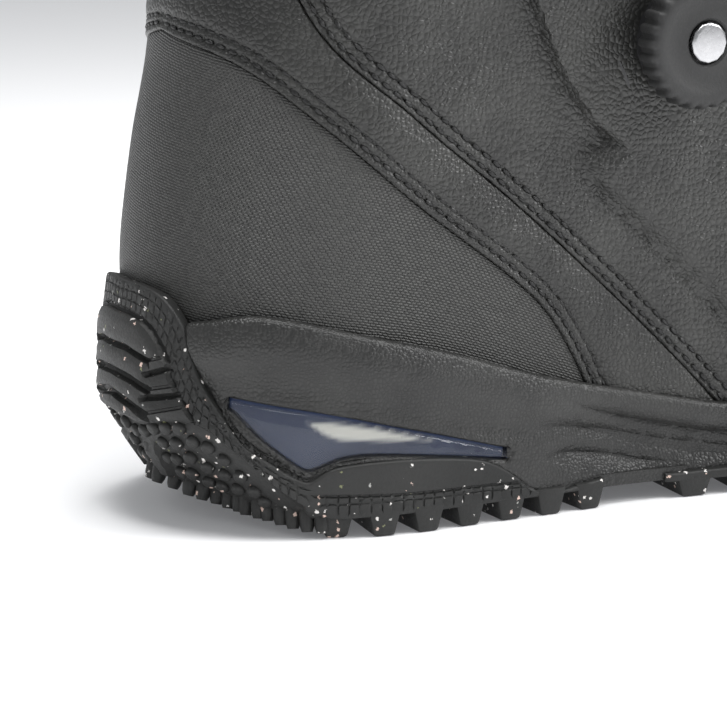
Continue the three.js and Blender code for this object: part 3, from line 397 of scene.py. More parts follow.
def grooveBands(line, half, wall, spacing=0.8):
    p = resample(line, spacing, closed=False)
    along = np.gradient(p, axis=0)
    along /= np.maximum(np.linalg.norm(along, axis=1), 1e-9)[:, None]
    side = np.stack([-along[:, 1], along[:, 0]], 1)
    return np.vstack([p + side * d for d in (-half - wall, -half, half, half + wall)]
                     + ([p] if half > 0.3 else []))


def grooveDepth(points, line, half, wall, depth):
    away = lineDistance(points, [np.asarray(line, float)])
    return depth * (1 - np.clip((away - half) / wall, 0, 1))


def makeObject(name, parts, material, sharp=42, uv=None):
    verts, faces, flat, start = [], [], [], 0
    for part in parts:
        verts.append(part[0])
        faces.append(np.asarray(part[1]) + start)
        flat.append(part[2] if len(part) > 2 else np.zeros((len(part[0]), 2)))
        start += len(part[0])
    verts, faces, flat = toMetres(np.vstack(verts)), np.vstack(faces), np.vstack(flat)
    mesh = bpy.data.meshes.new(name)
    mesh.vertices.add(len(verts))
    mesh.vertices.foreach_set("co", verts.astype(np.float32).ravel())
    sides = faces.shape[1]
    mesh.loops.add(len(faces) * sides)
    mesh.loops.foreach_set("vertex_index", faces.astype(np.int32).ravel())
    mesh.polygons.add(len(faces))
    mesh.polygons.foreach_set("loop_start", np.arange(0, len(faces) * sides, sides, dtype=np.int32))
    mesh.update(calc_edges=True)
    mesh.validate()
    tidyMesh(mesh)
    if uv is not None:
        layer = mesh.uv_layers.new(name="cloth")
        index = np.empty(len(mesh.loops), np.int32)
        mesh.loops.foreach_get("vertex_index", index)
        layer.uv.foreach_set("vector", uv(flat)[index].astype(np.float32).ravel())
    finishMesh(mesh, sharp)
    mesh.materials.append(material)
    made = bpy.data.objects.new(name, mesh)
    scene.collection.objects.link(made)
    return made


def tidyMesh(mesh):
    bm = bmesh.new()
    bm.from_mesh(mesh)
    bmesh.ops.recalc_face_normals(bm, faces=bm.faces)
    bm.to_mesh(mesh)
    bm.free()


def finishMesh(mesh, sharp):
    mesh.polygons.foreach_set("use_smooth", [True] * len(mesh.polygons))
    mesh.set_sharp_from_angle(angle=math.radians(sharp))
    mesh.update()


def settle(piece, body, slot, *nodes):
    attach(piece, body)
    if nodes:
        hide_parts(*nodes)
    return piece


def node(tree, kind, sockets=None, **options):
    made = tree.nodes.new(kind)
    for key, value in options.items():
        setattr(made, key, value)
    for key, value in (sockets or {}).items():
        if isinstance(value, bpy.types.NodeSocket):
            tree.links.new(value, made.inputs[key])
        else:
            made.inputs[key].default_value = value
    return made


def noiseAt(tree, vector, scale, detail):
    return node(tree, "ShaderNodeTexNoise", {"Vector": vector, "Scale": scale, "Detail": detail})


def maths(tree, operation, a, b=0.0, c=0.0):
    return node(tree, "ShaderNodeMath", {0: a, 1: b, 2: c}, operation=operation).outputs[0]


def remap(tree, value, low, high, newLow=0.0, newHigh=1.0):
    made = node(tree, "ShaderNodeMapRange", {"Value": value, "From Min": low, "From Max": high,
                                             "To Min": newLow, "To Max": newHigh})
    return made.outputs["Result"]


def group(name, inputs, outputs):
    tree = bpy.data.node_groups.new(name, "ShaderNodeTree")
    for key, kind, value in inputs:
        socket = tree.interface.new_socket(name=key, in_out="INPUT", socket_type="NodeSocket" + kind)
        if value is not None:
            socket.default_value = value
    for key, kind in outputs:
        tree.interface.new_socket(name=key, in_out="OUTPUT", socket_type="NodeSocket" + kind)
    return tree, tree.nodes.new("NodeGroupInput"), tree.nodes.new("NodeGroupOutput")


def makePebble():
    tree, inn, out = group("leatherPebble", [("Vector", "Vector", None), ("Pebbles", "Float", 500.0),
                                             ("Crease", "Float", 0.16)],
                           [("Height", "Float"), ("CreaseShade", "Float"), ("Swell", "Float")])
    warp = noiseAt(tree, inn.outputs["Vector"], 260.0, 2.0)
    shift = node(tree, "ShaderNodeVectorMath", {0: warp.outputs["Color"], 1: (0.0016, 0.0016, 0.0016)},
                 operation="MULTIPLY")
    bent = node(tree, "ShaderNodeVectorMath", {0: inn.outputs["Vector"], 1: shift.outputs[0]},
                operation="ADD")
    cells = node(tree, "ShaderNodeTexVoronoi", {"Vector": bent.outputs[0], "Scale": inn.outputs["Pebbles"],
                                                "Randomness": 0.85}, feature="DISTANCE_TO_EDGE")
    heart = node(tree, "ShaderNodeTexVoronoi", {"Vector": bent.outputs[0], "Scale": inn.outputs["Pebbles"],
                                                "Randomness": 0.85})
    swell = noiseAt(tree, inn.outputs["Vector"], 55.0, 3.0)
    fine = noiseAt(tree, inn.outputs["Vector"], 2400.0, 2.0)
    crease = remap(tree, cells.outputs["Distance"], 0.0, inn.outputs["Crease"])
    heartDome = maths(tree, "MULTIPLY_ADD", maths(tree, "POWER", heart.outputs["Distance"], 2.0), -1.5, 1.0)
    dome = maths(tree, "MULTIPLY", heartDome, maths(tree, "MULTIPLY_ADD", crease, 0.45, 0.55))
    bumpy = maths(tree, "MULTIPLY_ADD", fine.outputs["Fac"], 0.18, dome)
    tree.links.new(bumpy, out.inputs["Height"])
    # painted shade: this output is highest in the creases between pebbles and only darkens the colour there
    tree.links.new(maths(tree, "SUBTRACT", 1.0, crease), out.inputs["CreaseShade"])
    tree.links.new(swell.outputs["Fac"], out.inputs["Swell"])
    return tree


def makeWeave():
    tree, inn, out = group("dashWeave", [("Vector", "Vector", None), ("Dash", "Float", 1.3),
                                         ("Row", "Float", 0.62)],
                           [("Height", "Float"), ("Tone", "Float")])
    wander = noiseAt(tree, inn.outputs["Vector"], 0.35, 2.0)
    apart = node(tree, "ShaderNodeSeparateXYZ", {0: inn.outputs["Vector"]})
    v = maths(tree, "DIVIDE", maths(tree, "MULTIPLY_ADD", wander.outputs["Fac"], 0.5, apart.outputs["Y"]),
              inn.outputs["Row"])
    row = maths(tree, "FLOOR", v)
    u = maths(tree, "MULTIPLY_ADD", row, 0.38, maths(tree, "DIVIDE", apart.outputs["X"], inn.outputs["Dash"]))
    ups = [maths(tree, "ABSOLUTE", maths(tree, "MULTIPLY_ADD", maths(tree, "FRACT", k), 2.0, -1.0))
           for k in (u, v)]
    long = maths(tree, "SUBTRACT", 1.0, maths(tree, "POWER", ups[0], 4.0))
    short = maths(tree, "SUBTRACT", 1.0, maths(tree, "POWER", ups[1], 2.0))
    height = maths(tree, "MULTIPLY", long, short)
    tree.links.new(height, out.inputs["Height"])
    cell = node(tree, "ShaderNodeCombineXYZ", {"X": maths(tree, "FLOOR", u), "Y": row})
    tone = node(tree, "ShaderNodeTexWhiteNoise", {"Vector": cell.outputs[0]}, noise_dimensions="2D")
    tree.links.new(tone.outputs["Value"], out.inputs["Tone"])
    return tree


def makeSpecks():
    tree, inn, out = group("rubberSpecks", [("Vector", "Vector", None), ("Flecks", "Float", 420.0),
                                            ("Share", "Float", 0.2)],
                           [("Mask", "Float"), ("Colour", "Color")])
    warp = noiseAt(tree, inn.outputs["Vector"], 1900.0, 3.0)
    shift = node(tree, "ShaderNodeVectorMath", {0: warp.outputs["Color"], 1: (0.0012, 0.0012, 0.0012)},
                 operation="MULTIPLY")
    bent = node(tree, "ShaderNodeVectorMath", {0: inn.outputs["Vector"], 1: shift.outputs[0]},
                operation="ADD")
    cells = node(tree, "ShaderNodeTexVoronoi", {"Vector": bent.outputs[0], "Scale": inn.outputs["Flecks"]})
    pick = node(tree, "ShaderNodeSeparateColor", {0: cells.outputs["Color"]})
    size = remap(tree, pick.outputs["Green"], 0.0, 1.0, 0.1, 0.34)
    near = maths(tree, "LESS_THAN", cells.outputs["Distance"], size)
    chosen = maths(tree, "LESS_THAN", pick.outputs["Red"], inn.outputs["Share"])
    tree.links.new(maths(tree, "MULTIPLY", near, chosen), out.inputs["Mask"])
    ramp = node(tree, "ShaderNodeValToRGB", {0: pick.outputs["Blue"]})
    ramp.color_ramp.interpolation = "CONSTANT"
    for place, colour in ((0.0, (0.80, 0.77, 0.74, 1)), (0.5, (0.74, 0.56, 0.48, 1)),
                          (0.78, (0.42, 0.42, 0.40, 1)), (0.9, (0.20, 0.21, 0.11, 1))):
        stop = ramp.color_ramp.elements[0] if place == 0 else ramp.color_ramp.elements.new(place)
        stop.color = colour
    ramp.color_ramp.elements.remove(ramp.color_ramp.elements[-1])
    tree.links.new(ramp.outputs["Color"], out.inputs["Colour"])
    return tree


def makeFineGrain():
    tree, inn, out = group("fineGrain", [("Vector", "Vector", None), ("Grain", "Float", 1800.0)],
                           [("Height", "Float"), ("Drift", "Float")])
    small = node(tree, "ShaderNodeTexNoise", {"Vector": inn.outputs["Vector"], "Scale": inn.outputs["Grain"],
                                              "Detail": 4.0, "Roughness": 0.6})
    slow = noiseAt(tree, inn.outputs["Vector"], 38.0, 4.0)
    tree.links.new(small.outputs["Fac"], out.inputs["Height"])
    tree.links.new(slow.outputs["Fac"], out.inputs["Drift"])
    return tree


pebbleGroup, weaveGroup, speckGroup, grainGroup = makePebble(), makeWeave(), makeSpecks(), makeFineGrain()


def startMaterial(name, settings):
    material = bpy.data.materials.new(name)
    material.use_nodes = True
    tree = material.node_tree
    shader = tree.nodes["Principled BSDF"]
    for key, value in settings.items():
        shader.inputs[key].default_value = value
    return material, tree, shader


def blendColours(tree, share, low, high):
    made = node(tree, "ShaderNodeMix", {0: share}, data_type="RGBA")
    for socket, value in ((made.inputs[6], low), (made.inputs[7], high)):
        if isinstance(value, bpy.types.NodeSocket):
            tree.links.new(value, socket)
        else:
            socket.default_value = (*value, 1)
    return made.outputs[2]


def feed(tree, shader, colour, rough, normal):
    for key, value in (("Base Color", colour), ("Roughness", rough), ("Normal", normal)):
        tree.links.new(value, shader.inputs[key])


def objectSpace(tree):
    return node(tree, "ShaderNodeTexCoord").outputs["Object"]


def bump(tree, height, depth, below=None):
    made = node(tree, "ShaderNodeBump", {"Height": height, "Distance": depth, "Strength": 1.0})
    if below:
        tree.links.new(below, made.inputs["Normal"])
    return made.outputs["Normal"]


def placeGroup(tree, shared, sockets):
    return node(tree, "ShaderNodeGroup", sockets, node_tree=shared)


def leatherFinish(name, dark, light, rough, pebbles, crease, depth, **plain):
    material, tree, shader = startMaterial(name, plain)
    at = objectSpace(tree)
    pebble = placeGroup(tree, pebbleGroup, {"Vector": at, "Pebbles": pebbles, "Crease": crease})
    drift = placeGroup(tree, grainGroup, {"Vector": at, "Grain": 900.0})
    # painted shade: the crease output darkens the colour in the creases between pebbles; the swell noise adds
    # random tone
    tone = maths(tree, "MULTIPLY_ADD", pebble.outputs["CreaseShade"], -0.4,
                 remap(tree, pebble.outputs["Swell"], 0.3, 0.7, 0.35, 1.0))
    feed(tree, shader, blendColours(tree, tone, dark, light),
         remap(tree, drift.outputs["Drift"], 0.3, 0.7, rough - 0.06, rough + 0.07),
         bump(tree, pebble.outputs["Height"], depth, bump(tree, pebble.outputs["Swell"], 0.0006)))
    return material


def moulded(name, dark, light, rough, grain, depth, **plain):
    material, tree, shader = startMaterial(name, plain)
    fine = placeGroup(tree, grainGroup, {"Vector": objectSpace(tree), "Grain": grain})
    feed(tree, shader, blendColours(tree, remap(tree, fine.outputs["Drift"], 0.3, 0.7), dark, light),
         remap(tree, fine.outputs["Height"], 0.3, 0.7, rough - 0.06, rough + 0.08),
         bump(tree, fine.outputs["Height"], depth))
    return material


def rubberFinish():
    material, tree, shader = startMaterial("speckledRubber", {"Specular IOR Level": 0.42})
    at = objectSpace(tree)
    fine = placeGroup(tree, grainGroup, {"Vector": at, "Grain": 1500.0})
    specks = placeGroup(tree, speckGroup, {"Vector": at, "Flecks": 620.0, "Share": 0.27})
    body = blendColours(tree, remap(tree, fine.outputs["Drift"], 0.3, 0.7), (0.013, 0.0135, 0.013),
                        (0.028, 0.028, 0.027))
    feed(tree, shader, blendColours(tree, specks.outputs["Mask"], body, specks.outputs["Colour"]),
         remap(tree, fine.outputs["Height"], 0.3, 0.7, 0.42, 0.62),
         bump(tree, fine.outputs["Height"], 0.00012))
    return material


def weaveFinish(name, dark, light, rough, dash, row, depth, **plain):
    material, tree, shader = startMaterial(name, plain)
    cloth = node(tree, "ShaderNodeUVMap", uv_map="cloth").outputs[0]
    weave = placeGroup(tree, weaveGroup, {"Vector": cloth, "Dash": dash, "Row": row})
    fine = placeGroup(tree, grainGroup, {"Vector": objectSpace(tree), "Grain": 1400.0})
    # painted shade: the colour follows the dash relief, darker in the gaps between dashes and lighter on
    # their crowns; the per-dash tone is random variation
    tone = maths(tree, "MULTIPLY_ADD", weave.outputs["Height"], 0.6,
                 maths(tree, "MULTIPLY", weave.outputs["Tone"], 0.3))
    feed(tree, shader, blendColours(tree, tone, dark, light),
         remap(tree, fine.outputs["Drift"], 0.3, 0.7, rough - 0.05, rough + 0.06),
         bump(tree, weave.outputs["Height"], depth, bump(tree, fine.outputs["Height"], 0.00005)))
    return material


def lensFinish():
    material, tree, shader = startMaterial("clearWindow",
            {"Roughness": 0.03, "Coat Weight": 1.0, "Coat Roughness": 0.02,
                                                           "IOR": 1.6, "Specular IOR Level": 0.9})
    fine = placeGroup(tree, grainGroup, {"Vector": objectSpace(tree), "Grain": 160.0})
    tree.links.new(blendColours(tree, fine.outputs["Drift"], (0.005, 0.009, 0.022), (0.012, 0.019, 0.042)),
                   shader.inputs["Base Color"])
    tree.links.new(remap(tree, fine.outputs["Drift"], 0.3, 0.7, 0.14, 0.22), shader.inputs["Alpha"])
    tree.links.new(bump(tree, fine.outputs["Drift"], 0.0001), shader.inputs["Normal"])
    return material


def gelFinish():
    # The gel glows: its colour also feeds emission at strength 0.5, painted light that brightens it behind
    # the lens, most in the pale patch.
    material, tree, shader = startMaterial("glowingTintedGel", {"Specular IOR Level": 0.3, "Emission Strength": 0.5})
    pale = node(tree, "ShaderNodeAttribute", attribute_name="pale").outputs["Fac"]
    at = objectSpace(tree)
    fine = placeGroup(tree, grainGroup, {"Vector": at, "Grain": 60.0})
    cells = node(tree, "ShaderNodeTexVoronoi", {"Vector": at, "Scale": 60.0}, feature="SMOOTH_F1")
    streaks = remap(tree, cells.outputs["Distance"], 0.2, 0.8, 0.6, 0.0)
    navy = blendColours(tree, remap(tree, fine.outputs["Drift"], 0.35, 0.65), (0.008, 0.013, 0.034),
                        (0.02, 0.03, 0.065))
    veined = blendColours(tree, streaks, navy, (0.035, 0.05, 0.1))
    tintAndGlow = blendColours(tree, pale, veined, (0.62, 0.62, 0.57))
    tree.links.new(tintAndGlow, shader.inputs["Base Color"])
    # painted light: the same colour is lit again as emission
    tree.links.new(tintAndGlow, shader.inputs["Emission Color"])
    tree.links.new(remap(tree, fine.outputs["Height"], 0.3, 0.7, 0.45, 0.6), shader.inputs["Roughness"])
    return material


def fibreFinish(name, dark, light, rough, twist, depth, **plain):
    material, tree, shader = startMaterial(name, plain)
    at = objectSpace(tree)
    wave = node(tree, "ShaderNodeTexWave", {"Vector": at, "Scale": twist, "Distortion": 3.0, "Detail": 2.0,
                                            "Detail Scale": 2.0}, wave_type="BANDS",
                bands_direction="DIAGONAL")
    fine = placeGroup(tree, grainGroup, {"Vector": at, "Grain": 2600.0})
    # painted shade: the colour follows the same twist bands as the bump, darker in their grooves
    feed(tree, shader, blendColours(tree, wave.outputs["Fac"], dark, light),
         remap(tree, fine.outputs["Drift"], 0.3, 0.7, rough - 0.05, rough + 0.07),
         bump(tree, wave.outputs["Fac"], depth))
    return material


finishes = {
    "rubber": rubberFinish(),
    "pebbled": leatherFinish("pebbledLeather", (0.011, 0.011, 0.0105), (0.046, 0.046, 0.043), 0.39, 820.0,
                             0.24, 0.00022),
    "strap": leatherFinish("strapLeather", (0.010, 0.010, 0.0095), (0.041, 0.041, 0.038), 0.4, 900.0, 0.24,
                           0.0002),
    "foam": leatherFinish("midsoleFoam", (0.010, 0.010, 0.010), (0.037, 0.037, 0.035), 0.43, 1150.0, 0.26,
                          0.00013),
    "toe": leatherFinish("toeSynthetic", (0.009, 0.009, 0.009), (0.028, 0.028, 0.027), 0.5, 700.0, 0.2,
                         0.00014),
    "tongue": leatherFinish("tongueLeather", (0.010, 0.010, 0.011), (0.03, 0.03, 0.031), 0.52, 620.0, 0.2,
                            0.00016),
    "weave": weaveFinish("wovenSynthetic", (0.014, 0.014, 0.0135), (0.060, 0.060, 0.056), 0.42, 1.25, 0.62,
                         0.0002),
    "textile": weaveFinish("collarTextile", (0.012, 0.012, 0.013), (0.05, 0.05, 0.052), 0.85, 1.8, 1.1,
                           0.0003, **{"Sheen Weight": 0.3, "Sheen Roughness": 0.5}),
    "liner": weaveFinish("linerTextile", (0.05, 0.052, 0.056), (0.13, 0.135, 0.14), 0.9, 1.5, 0.9, 0.00025,
                         **{"Sheen Weight": 0.4, "Sheen Roughness": 0.5}),
    "window": lensFinish(),
    "gel": gelFinish(),
    "orange": moulded("orangeFoam", (0.62, 0.20, 0.05), (0.75, 0.28, 0.08), 0.6, 1500.0, 0.0001),
    "composite": moulded("composite", (0.010, 0.011, 0.012), (0.02, 0.021, 0.023), 0.5, 900.0, 0.00008),
    "board": moulded("lastingBoard", (0.20, 0.16, 0.11), (0.30, 0.25, 0.18), 0.85, 700.0, 0.0002),
    "bed": moulded("footbedFoam", (0.10, 0.11, 0.12), (0.16, 0.17, 0.18), 0.85, 1200.0, 0.0003),
    "nylon": moulded("guideNylon", (0.010, 0.010, 0.011), (0.018, 0.018, 0.019), 0.36, 1800.0, 0.00004),
    "dialBody": moulded("dialNylon", (0.012, 0.012, 0.013), (0.022, 0.022, 0.024), 0.34, 2200.0, 0.00004),
    "dialGrip": moulded("dialRubber", (0.018, 0.018, 0.018), (0.03, 0.03, 0.03), 0.6, 1600.0, 0.00012),
    "steel": moulded("screwSteel", (0.42, 0.42, 0.43), (0.55, 0.55, 0.56), 0.28, 900.0, 0.00003,
                     Metallic=1.0),
    "thread": fibreFinish("stitchThread", (0.003, 0.003, 0.003), (0.010, 0.010, 0.010), 0.42, 420.0, 0.0001),
    "lace": fibreFinish("coatedLace", (0.02, 0.021, 0.024), (0.06, 0.062, 0.068), 0.35, 380.0, 0.0001),
    "webbing": fibreFinish("webbing", (0.010, 0.010, 0.011), (0.035, 0.035, 0.037), 0.7, 240.0, 0.0003),
}
print("finishes made:", len(finishes))

stage = {"floorColour": (0.9, 0.9, 0.905), "world": 0.42, "keyPower": 15.0, "sidePower": 8.0,
         "viewDistance": 620.0,
         "aim": (38.0, -43.0, 0.0), "turn": 25.0, "rise": 15.0,
         "lens": 139.971, "swingRight": 0.00656, "swingUp": 0.06292, "floorReach": 6.0}


def makeCamera():
    turn, rise = math.radians(stage["turn"]), math.radians(stage["rise"])
    back = Vector((-math.sin(turn) * math.cos(rise), -math.cos(turn) * math.cos(rise), math.sin(rise)))
    right = Vector((math.cos(turn), -math.sin(turn), 0))
    up = right.cross(-back)
    spot = Vector(toMetres(stage["aim"])) + back * stage["viewDistance"] / 1000
    look = -back + right * stage["swingRight"] + up * stage["swingUp"]
    camera = bpy.data.objects.new("camera", bpy.data.cameras.new("camera"))
    scene.collection.objects.link(camera)
    camera.data.sensor_width = 36.0
    camera.data.lens = stage["lens"]
    camera.data.clip_start = 0.01
    camera.location = spot
    camera.rotation_euler = look.to_track_quat("-Z", "Y").to_euler()
    scene.camera = camera


def softBox(name, spot, target, size, power, colour=(1, 1, 1)):
    light = bpy.data.objects.new(name, bpy.data.lights.new(name, "AREA"))
    scene.collection.objects.link(light)
    light.data.shape = "RECTANGLE"
    light.data.size, light.data.size_y = size
    light.data.energy = power
    light.data.color = colour
    light.location = spot
    light.rotation_euler = (Vector(target) - Vector(spot)).to_track_quat("-Z", "Y").to_euler()


def makeStage():
    mesh = bpy.data.meshes.new("floor")
    reach = stage["floorReach"]
    mesh.from_pydata([(-reach, -reach, 0), (reach, -reach, 0), (reach, reach, 0), (-reach, reach, 0)], [],
                     [(0, 1, 2, 3)])
    floor = bpy.data.objects.new("floor", mesh)
    scene.collection.objects.link(floor)
    material, tree, shader = startMaterial("paleFloor",
            {"Roughness": 0.75, "Specular IOR Level": 0.2, "Emission Strength": 0.12})
    slow = node(tree, "ShaderNodeTexNoise", {"Vector": objectSpace(tree), "Scale": 3.0})
    tree.links.new(blendColours(tree, slow.outputs["Fac"], tuple(c * 0.99 for c in stage["floorColour"]),
                                stage["floorColour"]), shader.inputs["Base Color"])
    shader.inputs["Emission Color"].default_value = (0.95, 0.96, 1.0, 1)
    mesh.materials.append(material)
    world = bpy.data.worlds.new("studio")
    world.use_nodes = True
    world.node_tree.nodes["Background"].inputs["Color"].default_value = (0.96, 0.98, 1.0, 1)
    world.node_tree.nodes["Background"].inputs["Strength"].default_value = stage["world"]
    scene.world = world
    softBox("overheadBox", (0.0, -0.05, 1.0), (-0.02, 0, 0.05), (0.7, 0.7), stage["keyPower"])
    softBox("sideBox", (0.8, -0.55, 0.7), (0, 0, 0.08), (0.5, 0.5), stage["sidePower"])


makeCamera()
makeStage()
print("stage set")


def repeatTree(name, shape, sizes):
    tree = bpy.data.node_groups.new(name, "GeometryNodeTree")
    tree.interface.new_socket(name="Points", in_out="INPUT", socket_type="NodeSocketGeometry")
    for key, value in sizes.items():
        kind = "NodeSocketInt" if isinstance(value, int) else "NodeSocketFloat"
        tree.interface.new_socket(name=key, in_out="INPUT", socket_type=kind).default_value = value
    tree.interface.new_socket(name="Finish", in_out="INPUT", socket_type="NodeSocketMaterial")
    tree.interface.new_socket(name="Shapes", in_out="OUTPUT", socket_type="NodeSocketGeometry")
    inn, out = tree.nodes.new("NodeGroupInput"), tree.nodes.new("NodeGroupOutput")
    place = node(tree, "ShaderNodeSeparateXYZ", {0: node(tree, "GeometryNodeInputPosition").outputs[0]})
    if shape == "bead":
        base = node(tree, "GeometryNodeMeshUVSphere",
                    {"Segments": inn.outputs["Sides"], "Rings": inn.outputs["Rings"],
                                                       "Radius": 1.0})
        spot = node(tree, "ShaderNodeCombineXYZ", {"X": place.outputs[0], "Y": place.outputs[1],
                                                   "Z": maths(tree, "MINIMUM", place.outputs[2],
                inn.outputs["Flat top"])})
    else:
        base = node(tree, "GeometryNodeMeshCube", {"Size": (2.0, 2.0, 2.0), "Vertices X": 2, "Vertices Y": 2,
                                                   "Vertices Z": 2})
        up = maths(tree, "MULTIPLY_ADD", place.outputs[2], 0.5, 0.5)
        narrow = maths(tree, "MULTIPLY_ADD", maths(tree, "MULTIPLY", up, inn.outputs["Taper"]), -1.0, 1.0)
        thin = maths(tree, "MULTIPLY_ADD", maths(tree, "MULTIPLY", up, inn.outputs["Side taper"]), -1.0, 1.0)
        spot = node(tree, "ShaderNodeCombineXYZ", {"X": maths(tree, "MULTIPLY", place.outputs[0], narrow),
                                                   "Y": maths(tree, "MULTIPLY", place.outputs[1], thin),
                                                   "Z": place.outputs[2]})
    shaped = node(tree, "GeometryNodeSetPosition", {"Geometry": base.outputs["Mesh"],
            "Position": spot.outputs[0]})
    named = {}
    for key in ("outward", "along", "size"):
        read = node(tree, "GeometryNodeInputNamedAttribute", {"Name": key}, data_type="FLOAT_VECTOR")
        named[key] = read.outputs["Attribute"]
    turn = node(tree, "FunctionNodeAxesToRotation", {0: named["outward"], 1: named["along"]},
                primary_axis="Z", secondary_axis="X")
    vary = node(tree, "FunctionNodeRandomValue", {"Seed": inn.outputs["Seed"]}, data_type="FLOAT")
    tree.links.new(maths(tree, "SUBTRACT", 1.0, inn.outputs["Unevenness"]), vary.inputs[2])
    tree.links.new(maths(tree, "ADD", 1.0, inn.outputs["Unevenness"]), vary.inputs[3])
    scale = node(tree, "ShaderNodeVectorMath", {0: named["size"], "Scale": vary.outputs[1]},
                 operation="SCALE")
    put = node(tree, "GeometryNodeInstanceOnPoints",
               {"Points": inn.outputs["Points"], "Instance": shaped.outputs[0],
                                                      "Rotation": turn.outputs[0], "Scale": scale.outputs[0]})
    real = node(tree, "GeometryNodeRealizeInstances", {0: put.outputs[0]})
    coated = node(tree, "GeometryNodeSetMaterial", {"Geometry": real.outputs[0],
            "Material": inn.outputs["Finish"]})
    tree.links.new(coated.outputs[0], out.inputs[0])
    return tree


beadTree = repeatTree("setBeads", "bead", {"Sides": 9, "Rings": 6, "Flat top": 1.0, "Unevenness": 0.0,
        "Seed": 3})
blockTree = repeatTree("setBlocks", "block", {"Taper": 0.4, "Side taper": 0.0, "Unevenness": 0.0, "Seed": 5})


def setInput(modifier, key, value):
    for item in modifier.node_group.interface.items_tree:
        if item.item_type == "SOCKET" and item.in_out == "INPUT" and item.name == key:
            modifier[item.identifier] = value


def bake(made):
    evaluated = made.evaluated_get(bpy.context.evaluated_depsgraph_get())
    mesh = bpy.data.meshes.new_from_object(evaluated)
    made.modifiers.clear()
    made.data = mesh
    return mesh


def bevelEdges(made, width, degrees):
    edge = made.modifiers.new("edges", "BEVEL")
    edge.width, edge.segments, edge.limit_method = width / 1000, 2, "ANGLE"
    edge.angle_limit = math.radians(degrees)


def repeated(name, tree, at, outward, along, size, inputs, finish, sharp=50, bevel=None):
    mesh = bpy.data.meshes.new(name)
    mesh.vertices.add(len(at))
    mesh.vertices.foreach_set("co", toMetres(at).astype(np.float32).ravel())
    for key, values in (("outward", outward), ("along", along), ("size", np.asarray(size) / 1000)):
        made = mesh.attributes.new(key, "FLOAT_VECTOR", "POINT")
        full = np.broadcast_to(np.asarray(values, float), (len(at), 3))
        made.data.foreach_set("vector", full.astype(np.float32).ravel())
    made = bpy.data.objects.new(name, mesh)
    scene.collection.objects.link(made)
    modifier = made.modifiers.new("repeat", "NODES")
    modifier.node_group = tree
    for key, value in {**inputs, "Finish": finish}.items():
        setInput(modifier, key, value)
    if bevel:
        bevelEdges(made, bevel, 30)
    baked = bake(made)
    for key in ("outward", "along", "size"):
        if key in baked.attributes:
            baked.attributes.remove(baked.attributes[key])
    tidyMesh(baked)
    finishMesh(baked, sharp)
    return made


treadDepth = 4.6
heelFront, foreStart = 104.3, 121.0
midsoleTop = curve([(-8, 47), (8, 47.4), (19, 49.5), (29, 48.3), (40, 45.7), (63, 40), (89, 32), (116, 25.7),
                    (137, 21.5), (165, 19.8), (200, 20), (235, 23), (262, 29), (285, 38), (310, 44)])
toeSpring = curve([(240, 0), (262, 2), (282, 7), (305, 16)])
foreEdge = curve([(121, 6), (150, 6.6), (190, 7.6), (225, 9.5), (250, 14), (270, 23), (285, 33), (296, 40),
                  (313, 43)])
heelRim = [(0, 54.2), (5.2, 54.3), (10.8, 54.1), (17, 52.9), (21, 50.6), (24.5, 46.8), (25.8, 43),
           (27.5, 38.8), (29.8, 33.8), (33.5, 28.5), (36, 24.8), (39.5, 20.8), (44.8, 17.5), (49, 14.8),
           (52.8, 13.2), (55.5, 14.6), (58, 15.9)]
sideRim = [(41, 16.8), (52, 17.1), (64, 16.2), (72.6, 14.6), (78, 11.9), (83, 8.3), (87.5, 5.6), (92.5, 5.2),
           (98, 6.1), (heelFront, 6.9)]
windowTop = curve([(15.6, 31), (37.4, 26.8), (60, 21.2), (78.2, 16.2)])
windowLow = curve([(15.6, 29.8), (20.7, 23.7), (26.7, 18.5), (30.6, 15.9), (34.1, 17), (38.5, 18.5),
                   (46.4, 18.7), (61, 17.1), (78.2, 14.6)])


def rimLine(side=1):
    return spline(heelRim + [(side * float(roundFromX(x, side)), z) for x, z in sideRim], per=6)


